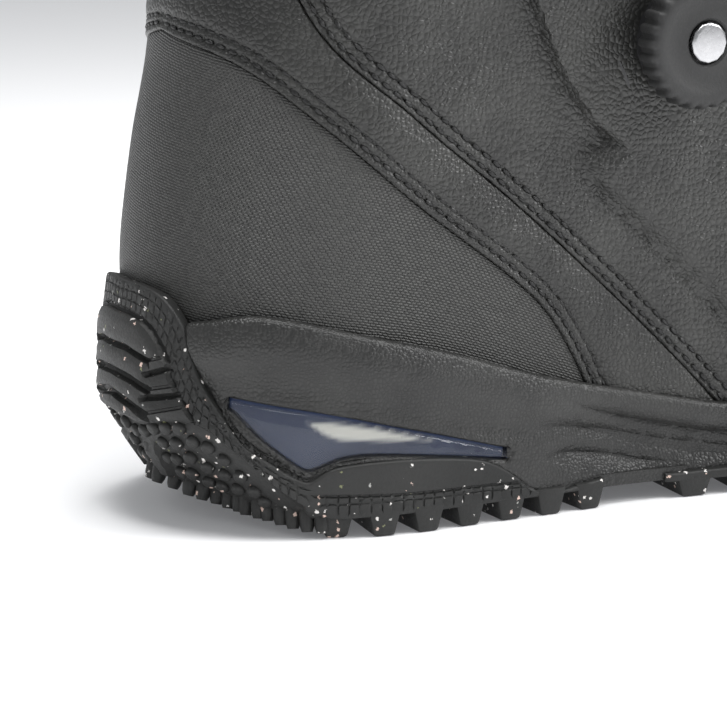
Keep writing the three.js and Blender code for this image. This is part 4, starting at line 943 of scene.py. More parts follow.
heelOutsole = {
    "proud": 0.8, "ridge": 1.0, "ridgeReach": 2.4, "sunkField": 0.9, "tilePitch": 2.3, "tileDepth": 0.3,
    "shell": {"step": 1.15, "rim": 0.9, "roll": 0.7, "thick": 3.0, "backStep": 5.0},
    "inner": [(0, 47.7), (5.2, 47.8), (12.2, 46.8), (16, 45), (18.8, 42.2), (21, 39), (21.8, 35.5),
              (24, 31.8), (26, 28.8), (27.8, 26)],
    "bandLow": [(27.8, 26), (31.5, 24.5), (35.2, 21.5), (38.8, 19), (42.5, 15.5), (46.8, 12), (52.5, 8)],
    "fieldLow": [(0, 24.4), (5.5, 24.3), (11.5, 23.5), (19.5, 25.6), (27.8, 26)],
    # (line, half width, bank, depth)
    "chevrons": [
        ([(0, 39.9), (6.8, 40), (15.2, 38.3)], 0.4, 0.4, 1.1), ([(15.2, 38.3), (20, 39.6)], 0.22, 0.25, 0.6),
        ([(15, 35.1), (21.6, 37.3)], 0.4, 0.35, 0.9),
        ([(0, 34.1), (8.5, 33.5), (15.2, 31.9)], 0.75, 0.4, 1.3),
        ([(15.2, 31.9), (23, 33.8)], 0.22, 0.25, 0.6), ([(14, 29.7), (24, 31.7)], 0.4, 0.35, 0.9),
        ([(0, 29.2), (8.2, 27.9), (14, 26.3)], 0.75, 0.4, 1.3), ([(14, 26.3), (25.2, 29.3)], 0.22, 0.25, 0.6),
    ],
    "studs": [(1.2, 21.9), (5.4, 20.7), (9.8, 21.4), (14.6, 22.9), (19.2, 23.6), (23.4, 24.2), (0, 17.6),
              (15.2, 19.3), (20.4, 19.9), (26.2, 21.2), (30.2, 20.3), (33.8, 17.6), (17, 15.4), (22.8, 16.6),
              (27.3, 14.6), (32.6, 13.4), (37.4, 13.9), (1.8, 13.7), (15.6, 11.8), (20, 11.9), (25, 10.2),
              (29.6, 9.6), (35.4, 9.8), (40.5, 10.2), (42.8, 7.6), (13.5, 15.2)],
    "pegs": [(2.5, 10.6), (8.2, 8.4), (14.4, 8.2), (19.6, 7.6), (24.6, 6.3), (29.2, 5.4), (33.4, 5.8),
             (36.2, 4.4), (40.4, 5.6), (43.2, 4.2), (46.8, 5), (49.8, 3.8), (53, 4.2), (56.2, 3.6)],
    "block": [(4.6, 17.4), (12.4, 18.2), (10.9, 9.6), (5.6, 9.4)],
}


def heelGrooves():
    made = list(heelOutsole["chevrons"])
    inner = heelOutsole["inner"]
    made.append((inner[:6], 0.45, 0.4, 1.1))
    made.append((inner[5:], 0.2, 0.25, 0.6))
    rim = spline(heelRim[:15], per=6)
    low = spline(inner + heelOutsole["bandLow"][1:], per=6)
    rim, low = resample(rim, 0.5, False), resample(low, 0.5, False)
    ends = np.linspace(0, 1, int(len(rim) * 0.5 / heelOutsole["tilePitch"]) + 1)
    onRim = np.stack([np.interp(ends, np.linspace(0, 1, len(rim)), rim[:, k]) for k in (0, 1)], 1)
    onLow = np.stack([np.interp(ends, np.linspace(0, 1, len(low)), low[:, k]) for k in (0, 1)], 1)
    tile = (0.1, 0.16, heelOutsole["tileDepth"])
    for share in (0.3, 0.62):
        made.append((onRim * (1 - share) + onLow * share, *tile))
    for a, b in zip(onRim[:-1], onLow[:-1]):
        made.append((np.array([a * 0.93 + b * 0.07, a * 0.08 + b * 0.92]), *tile))
    shelf = [(54.5, 10.1), (73.7, 9.3), (99.3, 8.9), (112, 7.9)]
    made.append((shelf, 0.2, 0.25, 0.5))
    made.append(([(56, 8.1), (99.3, 7.6), (118, 6.9)], *tile))
    for g in np.arange(57, 118, 2.5):
        top = np.interp(g, [p[0] for p in shelf], [p[1] for p in shelf])
        if top > 6.4:
            made.append((np.array([(g, top), (g, 6.1)]), *tile))
    return [(np.asarray(line, float), half, wall, depth) for line, half, wall, depth in made]


def lowestOnWall(g):
    levels = np.arange(treadDepth, 17, 0.1)
    gg, zz = np.meshgrid(g, levels, indexing="ij")
    ok = zz >= bevelBase(onWall(gg, zz)[..., 0])
    return levels[ok.argmax(1)]


def makeHeelOutsole():
    settings = heelOutsole
    grooves = heelGrooves()
    rims = {1: rimLine(1), -1: rimLine(-1)}
    bottoms = {}
    for side in (1, -1):
        g = np.linspace(0, rims[side][-1, 0], 90)
        bottoms[side] = np.stack([g, lowestOnWall(side * g)], 1)
    flip = np.array([-1, 1])
    loop = np.vstack([rims[-1][::-1] * flip, rims[1][1:], bottoms[1][::-1], bottoms[-1][1:] * flip])
    field = np.vstack([spline(settings["inner"], per=4), np.array(settings["fieldLow"])[::-1]])
    studs = np.vstack([np.array(settings["fieldLow"]), spline(settings["bandLow"], per=4)[1:],
                       [(52.5, -5), (0, -5)]])
    edges = [np.vstack([studs[:-2]])]
    bank = 0.7
    points = [grooveBands(line, half, wall) for line, half, wall, _ in grooves]
    points.append(resample(studs[:-2], 0.8, False))
    points.append(resample(studs[:-2], 0.8, False) - (0.0, bank))
    lateral = np.vstack(points)
    features = np.vstack([lateral, lateral[lateral[:, 0] > 0.1] * flip])
    chevronLines = [line for line, half, _, _ in grooves[:10]
                    if half > 0.3] + [np.array(settings["fieldLow"], float)]

    def relief(p):
        q = np.stack([np.abs(p[:, 0]), p[:, 1]], 1)
        away = lineDistance(q, chevronLines)
        ridge = settings["ridge"] * (1 - (1 - np.clip(away / settings["ridgeReach"], 0, 1)) ** 2)
        lift = np.where(insideOf(q, [field]), ridge, 0)
        sunk = smooth(0, bank, lineDistance(q, edges)) * insideOf(q, [studs])
        lift -= settings["sunkField"] * sunk
        raised = insideOf(q, [np.array(settings["block"], float)])
        raised = raised * smooth(0, 0.6, lineDistance(q, [np.array(settings["block"], float)], True))
        lift += 1.5 * raised
        cut = np.zeros(len(q))
        for line, half, wall, depth in grooves:
            low, high = line.min(0) - 1, line.max(0) + 1
            near = ((q > low) & (q < high)).all(1)
            if near.any():
                cut[near] = np.maximum(cut[near], grooveDepth(q[near], line, half, wall, depth))
        return lift - cut

    proud = settings["proud"]
    wallPart = shell([loop], settings["shell"], lambda g, z, out: onWall(g, z, out + proud), relief, features)
    g = np.concatenate([np.linspace(-rims[-1][-1, 0], 0, 70), np.linspace(0, rims[1][-1, 0], 70)[1:]])
    rim = onWall(g, lowestOnWall(g) + 0.5, -0.7)[:, :2]
    floorAt = lambda x: np.where(x < 27, bevelBase(x), treadDepth)
    plate = shell([rim], {"step": 3.0, "rim": 3.0, "roll": 0.3, "thick": 2.6, "backStep": 9.0},
                  lambda x, y, out: np.stack([x, y, floorAt(x) + 0.1 - out], -1))
    made = makeObject("heelRubber", [wallPart, plate], finishes["rubber"], 36)
    return settle(made, "foot", "speckled_rubber", "heel_outsole")


def makeStuds():
    settings = heelOutsole
    spots = np.array(settings["studs"], float)
    spots = np.vstack([spots, spots[spots[:, 0] > 1.5] * (-1, 1)])
    base = settings["proud"] - settings["sunkField"]
    at, out = onWall(spots[:, 0], spots[:, 1], base), wallNormal(spots[:, 0], spots[:, 1])
    made = repeated("heelStuds", beadTree, at, out, (0, 0, 1), (1.7, 1.7, 2.0),
                    {"Sides": 12, "Rings": 9, "Flat top": 0.62, "Unevenness": 0.07, "Seed": 11},
                    finishes["rubber"], 60)
    settle(made, "foot", "speckled_rubber")
    spots = np.array(settings["pegs"], float)
    spots = np.vstack([spots, spots * (-1, 1)])
    z = np.maximum(spots[:, 1], lowestOnWall(spots[:, 0]) + 0.3)
    at = onWall(spots[:, 0], z, -1.0)
    out = wallNormal(spots[:, 0], z) * 0.55 + (0, 0, -1)
    out /= np.linalg.norm(out, axis=1)[:, None]
    reach = np.clip(at[:, 2] - np.interp(at[:, 0], [4, 12, 22, 32, 45], [12, 6.6, 3.2, 1.2, 0]), 2.2, 5.2)
    size = np.stack([np.full(len(at), 1.85), np.full(len(at), 1.85), reach / 0.7], 1)
    made = repeated("heelPegs", beadTree, at, out, (1, 0, 0), size,
                    {"Sides": 12, "Rings": 9, "Flat top": 0.7, "Unevenness": 0.04, "Seed": 12},
                    finishes["rubber"], 60)
    settle(made, "foot", "speckled_rubber")


# each lug: (width, height, depth in from the edge)
treads = {"heelCount": 7, "heelFirst": 37.0, "heelPitch": 10.6, "heelLug": (8.0, 6.3, 10), "plugAt": 52.5,
          "foreFirst": 128.5, "forePitch": 14.0, "foreLug": (10.0, 6.2, 12), "toeStart": 262, "toeDepth": 8,
          "edge": 0.8}


def makeLugs():
    at, along, size, outward = [], [], [], []

    def side(x, which, lift, width, height, deep):
        g = which * float(roundFromX(x, which))
        p, t = outlineAt(g)
        n = np.array([t[1], -t[0], 0.0])
        mid = onWall(g, 3.0, 0.95) - n * deep
        at.append((mid[0], mid[1], lift + height / 2))
        along.append((t[0], t[1], 0))
        size.append((width / 2, deep, height / 2))
        outward.append((0, 0, -1))

    for k in range(treads["heelCount"]):
        x = treads["heelFirst"] + k * treads["heelPitch"]
        for which in (1, -1):
            side(x, which, 0, *treads["heelLug"])
        if k % 2 == 0 and abs(x + 2 - treads["plugAt"]) > 9:
            at.append((x + 2, 0, 3))
            along.append((1, 0, 0))
            size.append((5.6, 17, 3))
            outward.append((0, 0, -1))
    width, height, deep = treads["foreLug"]
    for x in np.arange(treads["foreFirst"], 285, treads["forePitch"]):
        atToe = x >= treads["toeStart"]
        for which in (1, -1):
            side(x, which, float(toeSpring(x)), width, height, treads["toeDepth"] if atToe else deep)
        at.append((x + 10, 0, 3 + float(toeSpring(x + 10))))
        along.append((1, 0, 0))
        size.append((5.8, 10 if atToe else 19, 3))
        outward.append((0, 0, -1))
    made = repeated("treadLugs", blockTree, np.array(at), np.array(outward), np.array(along), np.array(size),
                    {"Taper": 0.4, "Side taper": 0.03, "Unevenness": 0.015, "Seed": 8}, finishes["rubber"],
                    34, bevel=treads["edge"])
    settle(made, "foot", "speckled_rubber")


midsole = {
    "lip": 1.5, "lipStep": 1.3, "ledge": 2.8, "tuck": 0.7,
    "shell": {"step": 1.9, "rim": 1.6, "roll": 0.9, "thick": 3.0, "backStep": 8.0},
    # flowing creases in the side view: (line, depth, how far it takes to come out again)
    "creases": [([(84, 29.6), (92, 26.6), (103, 22.8), (119, 18.2), (137, 14.2), (165, 12.6), (190, 12.4)],
                 3.0, 6.0),
                ([(81, 17.6), (86, 19.6), (92, 20.2), (103, 18.2), (119, 13.9), (137, 10.4), (160, 9.2)], 2.6,
                 5.0),
                ([(84, 11.5), (92, 13.6), (103, 12.6), (116, 9.4), (130, 7.6)], 1.8, 3.8)],
    "windowSeat": 0.55,
}


def windowLoop(side, grow=0.0):
    top = np.linspace(15.6 - grow, 78.2 + grow, 34)
    low = np.linspace(78.2 + grow, 15.6 - grow, 48)
    pts = [(x, float(windowTop(x)) + grow) for x in top] + [(x, float(windowLow(x)) - grow) for x in low]
    loop = np.array([(side * float(roundFromX(x, side)), z) for x, z in pts])
    return loop if side > 0 else mirrorRound(loop)


def makeMidsole():
    settings = midsole
    tuck = settings["tuck"]
    fore = [(x, float(foreEdge(x))) for x in np.linspace(foreStart, 302, 30)]
    arch = [(heelFront - 0.4, 6.9), (heelFront, 4.3), (foreStart, 4.3), (foreStart + 0.4, 6)]
    halves = {}
    for side in (1, -1):
        rim = rimLine(side)
        rim = rim[rim[:, 0] > 24.2]
        rim = rim[:-1] - (0, tuck)
        low = [(float(roundFromX(x, side)) * side, z if 0 < i < 3 else z - tuck)
               for i, (x, z) in enumerate(arch)]
        low += [(float(roundFromX(x, side)) * side, z - tuck) for x, z in fore[1:]]
        halves[side] = np.vstack([rim, np.array(low)])
    bottom = np.vstack([halves[1], mirrorRound(halves[-1])[::-1]])
    g = np.linspace(bottom[-1, 0], bottom[0, 0], 420)
    lipLength = settings["lip"] * np.pi / 2
    rise = lipLength - settings["lip"] + settings["ledge"]
    topAt = lambda s: midsoleTop(outlineAt(s)[0][..., 0])
    top = np.stack([g, topAt(g) + rise], 1)
    loops = [np.vstack([bottom, top])] + [windowLoop(side, settings["windowSeat"]) for side in (1, -1)]
    creases = []
    for line, depth, reach in settings["creases"]:
        for side in (1, -1):
            p = spline(line, per=5)
            q = np.stack([side * roundFromX(p[:, 0], side), p[:, 1]], 1)
            creases.append((q if side > 0 else mirrorRound(q)[::-1], depth, reach))
    lips = []
    for side in (1, -1):
        rim = rimLine(side)
        rim = rim[(rim[:, 0] > 34) & (rim[:, 0] < 99)]
        for up in (0.75, 1.7):
            q = rim + (0, up)
            lips.append(q if side > 0 else mirrorRound(q)[::-1])
    lipRound = np.arange(g.min(), g.max(), settings["lipStep"])  # close points round the lip keep it smooth
    features = np.vstack([grooveBands(q, 0.05, 0.45, 1.2) for q, _, _ in creases]
                         + [grooveBands(q, 0.1, 0.22, 0.9) for q in lips]
                         + [np.stack([lipRound, topAt(lipRound) - settings["lip"] + lipLength * share], 1)
                            for share in (0, 0.2, 0.4, 0.6, 0.8, 1.0)])

    def relief(p):
        lift = np.zeros(len(p))
        for line, depth, reach in creases:
            s = p[:, 1] - np.interp(p[:, 0], line[:, 0], line[:, 1])
            share = (p[:, 0] - line[0, 0]) / (line[-1, 0] - line[0, 0])
            fade = smooth(0, 0.3, share) * smooth(1.0, 0.6, share)
            if line[0, 0] > outlineLength / 2:
                fade = smooth(0, 0.4, share) * smooth(1.0, 0.7, share)
            lift -= depth * fade * np.where(s < 0, np.exp(s / reach), np.exp(-s / 0.9))
        below = topAt(p[:, 0]) - p[:, 1]
        x = outlineAt(p[:, 0])[0][..., 0]
        rear = smooth(150, 95, x)
        lift += rear * (0.9 * np.exp(-((below - 6) / 4.5) ** 2) - 1.3 * np.exp(-((below - 16) / 5.5) ** 2)
                        * smooth(2, 9, p[:, 1] - 14))
        for line in lips:
            near = (p[:, 0] > line[0, 0] - 1) & (p[:, 0] < line[-1, 0] + 1)
            lift[near] -= grooveDepth(p[near], line, 0.1, 0.22, 0.45)
        return lift

    def place(s, v, out):
        edge = topAt(s) - settings["lip"]
        past = v - edge
        turn = np.clip(past / settings["lip"], 0, np.pi / 2)
        z = np.minimum(v, edge) + settings["lip"] * np.sin(turn)
        inward = settings["lip"] * (1 - np.cos(turn)) + np.maximum(past - lipLength, 0)
        up = np.sin(turn)
        at = onWall(s, z, 0.0)
        n = wallNormal(s, z)
        flat = n * (1, 1, 0)
        at = at - flat * inward[..., None]
        way = n * np.cos(turn)[..., None] + np.array([0, 0, 1.0]) * up[..., None]
        return at + way * out[..., None]

    band = shell(loops, settings["shell"], place, relief, features)
    g = np.concatenate([roundFromX(np.linspace(98, 127, 12), 1), roundFromX(np.linspace(127, 98, 12), -1)])
    rim = onWall(g, 5.0, -0.5)[:, :2]
    under = shell([rim], {"step": 3.0, "rim": 3.0, "roll": 0.3, "thick": 3.0, "backStep": 9.0},
                  lambda x, y, out: np.stack([x, y, 4.35 - out], -1))
    made = makeObject("midsoleFoam", [band, under], finishes["foam"], 40)
    return settle(made, "foot", "midsole_foam", "midsole")


windows = {"shell": {"step": 1.3, "rim": 1.1, "roll": 0.25, "thick": 2.0, "backStep": 3.0},
           "bevel": 2.3, "crown": 0.9, "gelDepth": 2.5,
           "pale": [(29.5, 26.5), (36, 26.2), (46, 24.4), (54, 22.3), (64, 19.4), (54, 20.1), (44, 20.9),
                    (38, 21.3), (34.5, 22.6), (31.5, 24.8)]}


def makeWindows():
    settings = windows
    for side, label in ((1, "Lateral"), (-1, "Medial")):
        loop = windowLoop(side)

        def relief(p):
            edge = lineDistance(p, [loop], True)
            return settings["crown"] * np.clip(edge / settings["bevel"], 0, 1)

        place = lambda g, z, out: onWall(g, z, out + 0.2)
        lens = shell([loop], settings["shell"], place, relief)
        made = makeObject("heelWindow" + label, [lens], finishes["window"], 22)
        settle(made, "foot", "clear_window", "heel_window_" + label.lower())
        deep = settings["gelDepth"]
        back = shell([windowLoop(side, 0.5)], {"step": 1.0, "rim": 1.2, "roll": 0.3, "thick": 0.8,
                "backStep": 4.0},
                     lambda g, z, out: onWall(g, z, out - deep))
        made = makeObject("heelGel" + label, [back], finishes["gel"], 40)
        pale = np.array([(side * float(roundFromX(x, side)), z) for x, z in settings["pale"]])
        pale = pale if side > 0 else mirrorRound(pale)
        flat = back[2]
        share = insideOf(flat, [pale]) * smooth(0, 1.1, lineDistance(flat, [pale], True))
        layer = made.data.attributes.new("pale", "FLOAT", "POINT")
        layer.data.foreach_set("value", share.astype(np.float32))
        settle(made, "foot", "gel_core")


forefoot = {"proud": 0.8, "shell": {"step": 2.2, "rim": 1.8, "roll": 0.7, "thick": 2.8, "backStep": 8.0},
            "tilePitch": 3.0, "tileDepth": 0.35}


def makeForefoot():
    settings = forefoot
    sides = {}
    for side in (1, -1):
        xs = np.linspace(foreStart, 302, 60)
        g = np.abs(roundFromX(xs, side))
        sides[side] = (np.stack([g, foreEdge(xs)], 1), np.stack([g, treadDepth - 0.6 + toeSpring(xs)], 1), xs)
    top = np.vstack([sides[1][0], mirrorRound(sides[-1][0])[::-1]])
    low = np.vstack([sides[1][1], mirrorRound(sides[-1][1])[::-1]])
    grooves = []
    for side in (1, -1):
        edge, base, xs = sides[side]
        for x in np.arange(240, 301, settings["tilePitch"]):
            g = float(np.interp(x, xs, edge[:, 0]))
            a = np.array([(g, np.interp(x, xs, edge[:, 1]) - 1.2), (g, np.interp(x, xs, base[:, 1]) + 2.0)])
            if a[0, 1] > a[1, 1] + 1:
                grooves.append(a if side > 0 else mirrorRound(a))
        for share in (0.35, 0.68):
            p = edge * (1 - share) + base * share
            p = p[xs > 232]
            grooves.append(p if side > 0 else mirrorRound(p))
    features = np.vstack([grooveBands(p, 0.12, 0.2, 1.2) for p in grooves])

    def relief(p):
        return -forefoot["tileDepth"] * (1 - np.clip((lineDistance(p, grooves) - 0.12) / 0.2, 0, 1))

    band = shell([np.vstack([top, low[::-1]])], settings["shell"],
                 lambda g, z, out: onWall(g, z, out + settings["proud"]), relief, features)
    g = np.linspace(low[0, 0], low[-1, 0], 150)
    z = treadDepth - 0.3 + toeSpring(outlineAt(g)[0][:, 0])
    rim = onWall(g, z, -0.7)[:, :2]
    plate = shell([rim], {"step": 3.5, "rim": 3.0, "roll": 0.3, "thick": 2.2, "backStep": 9.0},
                  lambda x, y, out: np.stack([x, y, treadDepth - 0.5 + toeSpring(x) - out], -1))
    made = makeObject("forefootRubber", [band, plate], finishes["rubber"], 36)
    return settle(made, "foot", "speckled_rubber", "forefoot_outsole")


makeHeelOutsole()
makeStuds()
makeLugs()
print("rubber made")
makeMidsole()
makeWindows()
makeForefoot()
print("sole unit made")

pivotX, pivotZ, cuffTop = 62.0, 121.0, 300.0
seamOne = spline([(106, 14), (99.5, 31), (91, 45), (83, 53), (57, 72.6), (34.5, 91.6), (20, 104), (-12, 122)],
                 per=10)
seamTwo = spline([(146, 9), (132.6, 24.5), (109.5, 47), (82, 71), (57, 91), (36, 110), (24, 140)], per=10)
seamThree = spline([(186, 8), (190, 30), (194, 60), (201, 84), (214, 100)], per=14)
seamToe = spline([(228, 8), (237, 30), (241, 55), (236, 75), (226, 96)], per=14)
spineEdge = spline([(44, 116), (40, 150), (34, 200), (32, 250), (34, 320)], per=12)
footRow, legRow = 45.0, 200.0  # heights at which the flat patterns are true to length
hemDrop, throatFoot, collarDepth = 4.0, 99.0, 16.0


def straightLines(knots):
    xs, zs = np.array(knots, float).T
    return lambda x: np.interp(x, xs, zs)


lowerFlex = straightLines([(-20, 127), (30, 122), (pivotX, pivotZ - 0.4), (115, 127), (190, 139)])
upperFlex = straightLines([(-20, 127.8), (30, 122.8), (pivotX, pivotZ + 0.4), (115, 145), (190, 183)])
collarTop = straightLines([(-30, cuffTop - 10), (70, cuffTop), (190, cuffTop + 12)])


lowTongueTop = straightLines([(60, 132), (190, 150)])
tongueFoot = straightLines([(40, 157), (190, 183)])


def throatHalf(z):
    return 20 + 11 * smooth(throatFoot, cuffTop, z)


def fold(t):
    return np.abs((np.asarray(t, float) + np.pi) % (2 * np.pi) - np.pi)


ringAngles = np.linspace(0, np.pi, angleSteps + 1)


def flatAcross(t, row):
    arcs = readTable(formAround, np.full(ringAngles.shape, row), ringAngles)
    t = np.asarray(t, float)
    base = np.interp(np.where(t > np.pi, 2 * np.pi - t, np.abs(t)), ringAngles, arcs)
    return np.where(t > np.pi, 2 * arcs[-1] - base, np.where(t < 0, -base, base))


def angleAcross(s, row):
    arcs = readTable(formAround, np.full(ringAngles.shape, row), ringAngles)
    s = np.asarray(s, float)
    base = np.interp(np.where(s > arcs[-1], 2 * arcs[-1] - s, np.abs(s)), arcs, ringAngles)
    return np.where(s > arcs[-1], 2 * np.pi - base, np.where(s < 0, -base, base))


def flat(line, row):
    line = np.asarray(line, float)
    return np.stack([flatAcross(line[:, 0], row), line[:, 1]], 1)


def levelLine(read, t, start):
    t = np.asarray(t, float)
    h = np.full(t.shape, float(start))
    for _ in range(60):
        x = readTable(formAt, h, fold(t))[..., 0]
        h = 0.5 * h + 0.5 * (read(x) - footLine(x))
    return np.stack([t, h], -1)


def hemLine(t0, t1, n=60):
    return levelLine(lambda x: midsoleTop(x) - hemDrop, np.linspace(t0, t1, n), 18)


hemLow = hemLine(0, np.pi, 240)


def sideView(line):
    p = readTable(formAt, line[:, 1], fold(line[:, 0]))
    return p[:, 0], p[:, 1], p[:, 2]


def keep(line, test):
    v = test(line)
    inside = np.flatnonzero(v > 0)
    a, b = inside[0], inside[-1]
    parts = [line[a:b + 1]]
    if a > 0:
        parts.insert(0, (line[a - 1] + (line[a] - line[a - 1]) * v[a - 1] / (v[a - 1] - v[a]))[None])
    if b < len(line) - 1:
        parts.append((line[b] + (line[b + 1] - line[b]) * v[b] / (v[b] - v[b + 1]))[None])
    return np.vstack(parts)


def aboveHem(line):
    return line[:, 1] - np.interp(fold(line[:, 0]), hemLow[:, 0], hemLow[:, 1])


def belowFlex(line):
    x, _, z = sideView(line)
    return lowerFlex(x) - z


def ringLine(points):
    t, h = sideToForm(points[:, 0], points[:, 1])
    inside = np.flatnonzero((t > 1e-3) & (t < np.pi - 1e-3))
    a, b = inside[0], min(inside[-1] + 1, len(t) - 1)
    line = np.stack([t, h], 1)[a:b + 1]
    if b > inside[-1]:
        line[-1, 0] = 0.0 if line[-2, 0] < np.pi / 2 else np.pi
    return line


def across(line, about=0.0):
    return np.stack([2 * about - line[:, 0], line[:, 1]], 1)


def throatEdge(h0, h1, extra=0.0, n=40):
    h = np.linspace(h0, h1, n)
    x = readTable(formAt, h, np.full(n, np.pi))[:, 0]
    for _ in range(5):
        t = angleAtWidth(h, throatHalf(footLine(x) + h) + extra)
        x = readTable(formAt, h, t)[:, 0]
    return np.stack([t, h], 1)


def above(read, gap=0):
    def test(line):
        x, _, z = sideView(line)
        return z - read(x) - gap
    return test


def endAt(edge, read):
    def under(line):
        x, _, z = sideView(line)
        return read(x) - z
    return keep(edge, under)


stitch = {"pitch": 3.3, "long": 1.3, "wide": 0.5, "high": 0.42, "channel": 0.42, "hole": 0.3}
stitchSpots = {"foot": [], "cuff": []}


def forward(points, away):
    along = np.gradient(points, axis=0)
    along /= np.linalg.norm(along, axis=1)[:, None]
    return points + np.stack([along[:, 1], -along[:, 0]], 1) * away


def sewRow(line, body, lift, row):
    at = onForm(line[:, 1], line[:, 0], lift)
    s = np.concatenate([[0], np.cumsum(np.linalg.norm(np.diff(at, axis=0), axis=1))])
    count = int(s[-1] / stitch["pitch"])
    mid = (np.arange(count) + 0.5) * stitch["pitch"]
    t, h = (np.interp(mid, s, line[:, k]) for k in (0, 1))
    t1, h1 = (np.interp(mid + 0.6, s, line[:, k]) for k in (0, 1))
    spot = onForm(h, t, lift - stitch["channel"] + 0.2)
    out = onForm(h, t, lift + 1) - onForm(h, t, lift)
    stitchSpots[body].append((spot, out, onForm(h1, t1, lift) - onForm(h, t, lift)))
    ends = np.arange(count + 1) * stitch["pitch"]
    holes = np.stack([np.interp(ends, s, line[:, k]) for k in (0, 1)], 1)
    return flat(line, row), flat(holes, row)


def sewnRelief(rows, extra=None):
    def relief(p):
        lift = extra(p) if extra else np.zeros(len(p))
        for line, holes in rows:
            low, high = line.min(0) - 3, line.max(0) + 3
            near = np.flatnonzero(((p > low) & (p < high)).all(1))
            if not len(near):
                continue
            away = lineDistance(p[near], [line])
            lift[near] -= stitch["channel"] * np.exp(-(away / 0.7) ** 2)
            close = near[away < 1.2]
            if len(close):
                gapTo = np.sqrt(((p[close][:, None] - holes[None]) ** 2).sum(2)).min(1)
                lift[close] -= stitch["hole"] * np.exp(-(gapTo / 0.42) ** 2)
        return lift
    return relief


def sewnFeatures(rows):
    return np.vstack([grooveBands(line, 0.35, 0.5, 0.75) for line, _ in rows]
                     + [line for line, _ in rows]) if rows else None


def mirrored(rows):
    return [(line * (-1, 1), holes * (-1, 1)) for line, holes in rows]


def panel(name, loop, finish, settings, row, relief=None, features=None, uv=None):
    lift = settings.get("lift", 0.0)
    made = shell([flat(loop, row)], settings, lambda s, h, out: onForm(h, angleAcross(s, row), out + lift),
                 relief, features)
    return makeObject(name, [made], finishes[finish], 40, uv)


def clothOf(row, lean=0.0):
    def uv(p):
        t = angleAcross(p[:, 0], row)
        wayRound = readTable(formAround, p[:, 1], fold(t)) * np.sign(t)
        return np.stack([wayRound, p[:, 1] + lean * p[:, 0]], 1)
    return uv


def sewBoth(points, away, lift, tests):
    line = ringLine(forward(points, away))
    for test in tests:
        line = keep(line, test)
    side = sewRow(line, "foot", lift, footRow)
    sewRow(across(line), "foot", lift, footRow)
    return side


footPanels = {
    "heel": {"step": 2.2, "rim": 1.4, "roll": 0.35, "thick": 2.6, "backStep": 9.0, "lift": 0.0},
    "strap": {"step": 2.0, "rim": 1.2, "roll": 0.9, "thick": 3.2, "backStep": 9.0, "lift": 0.6},
    "quarter": {"step": 2.2, "rim": 1.3, "roll": 0.9, "thick": 3.4, "backStep": 9.0, "lift": 0.8},
    "vamp": {"step": 2.6, "rim": 1.6, "roll": 0.7, "thick": 2.9, "backStep": 9.0, "lift": 0.3},
    "toe": {"step": 2.6, "rim": 1.6, "roll": 0.8, "thick": 3.3, "backStep": 9.0, "lift": 0.7},
    "rowsOne": (2.0, 4.1), "rowsTwo": (1.5, 3.9), "rowsThree": (-2.2, -4.4), "rowsToe": (2.0, 4.0),
    # raised field on the quarter: its rear lower edge in the side view
    "plateau": [(103, 86), (98.5, 82.5), (97.5, 79), (103, 72.8), (117, 60.6), (130.5, 48), (141, 37.5),
                (156, 31.5), (172, 33), (181, 42), (184, 60), (188, 84)],
    "plateauRise": 2.3, "plateauSlope": 4.0,
}

oneLine = keep(ringLine(seamOne), aboveHem)
twoLine = keep(keep(ringLine(seamTwo), aboveHem), belowFlex)
threeLine = keep(ringLine(seamThree), aboveHem)
toeLine = keep(ringLine(seamToe), aboveHem)


def makeHeelPanel():
    loop = np.vstack([oneLine, across(oneLine)[::-1][1:], hemLine(-oneLine[0, 0], oneLine[0, 0], 80)[1:-1]])
    made = panel("heelPanel", loop, "weave", footPanels["heel"], footRow, uv=clothOf(footRow, 0.16))
    settle(made, "foot", "woven_synthetic", "heel_panel")


def makeHeelStrap():
    settings = footPanels["strap"]
    top = levelLine(lowerFlex, np.linspace(twoLine[-1, 0], -twoLine[-1, 0], 60), 96)
    loop = np.vstack([twoLine, top[1:-1], across(twoLine)[::-1],
                      hemLine(-twoLine[0, 0], -oneLine[0, 0], 14)[1:-1],
                      across(oneLine), oneLine[::-1][1:], hemLine(oneLine[0, 0], twoLine[0, 0], 14)[1:-1]])
    rows = []
    for away in footPanels["rowsOne"]:
        rows.append(sewBoth(seamOne, away, settings["lift"], (aboveHem, belowFlex)))
    rows += mirrored(rows)
    low, high = ([flat(line, footRow), flat(across(line), footRow)] for line in (oneLine, twoLine))

    def swell(p):
        return 0.5 * smooth(0.5, 7, lineDistance(p, low)) * smooth(0, 6, lineDistance(p, high))

    made = panel("heelStrap", loop, "strap", settings, footRow, sewnRelief(rows, swell), sewnFeatures(rows))
    settle(made, "foot", "pebbled_leather", "heel_strap")


def makeSides(name, body, nodeName, loop, rows, settings, row, raised):
    for side, label in ((1, "Lateral"), (-1, "Medial")):
        shape = loop if side > 0 else across(loop)
        lines = rows if side > 0 else mirrored(rows)
        under = raised if side > 0 else (lambda p: raised(p * (-1, 1)))
        made = panel(name + label, shape, "pebbled", settings, row, sewnRelief(lines, under),
                     sewnFeatures(lines))
        settle(made, body, "pebbled_leather", nodeName + label.lower())


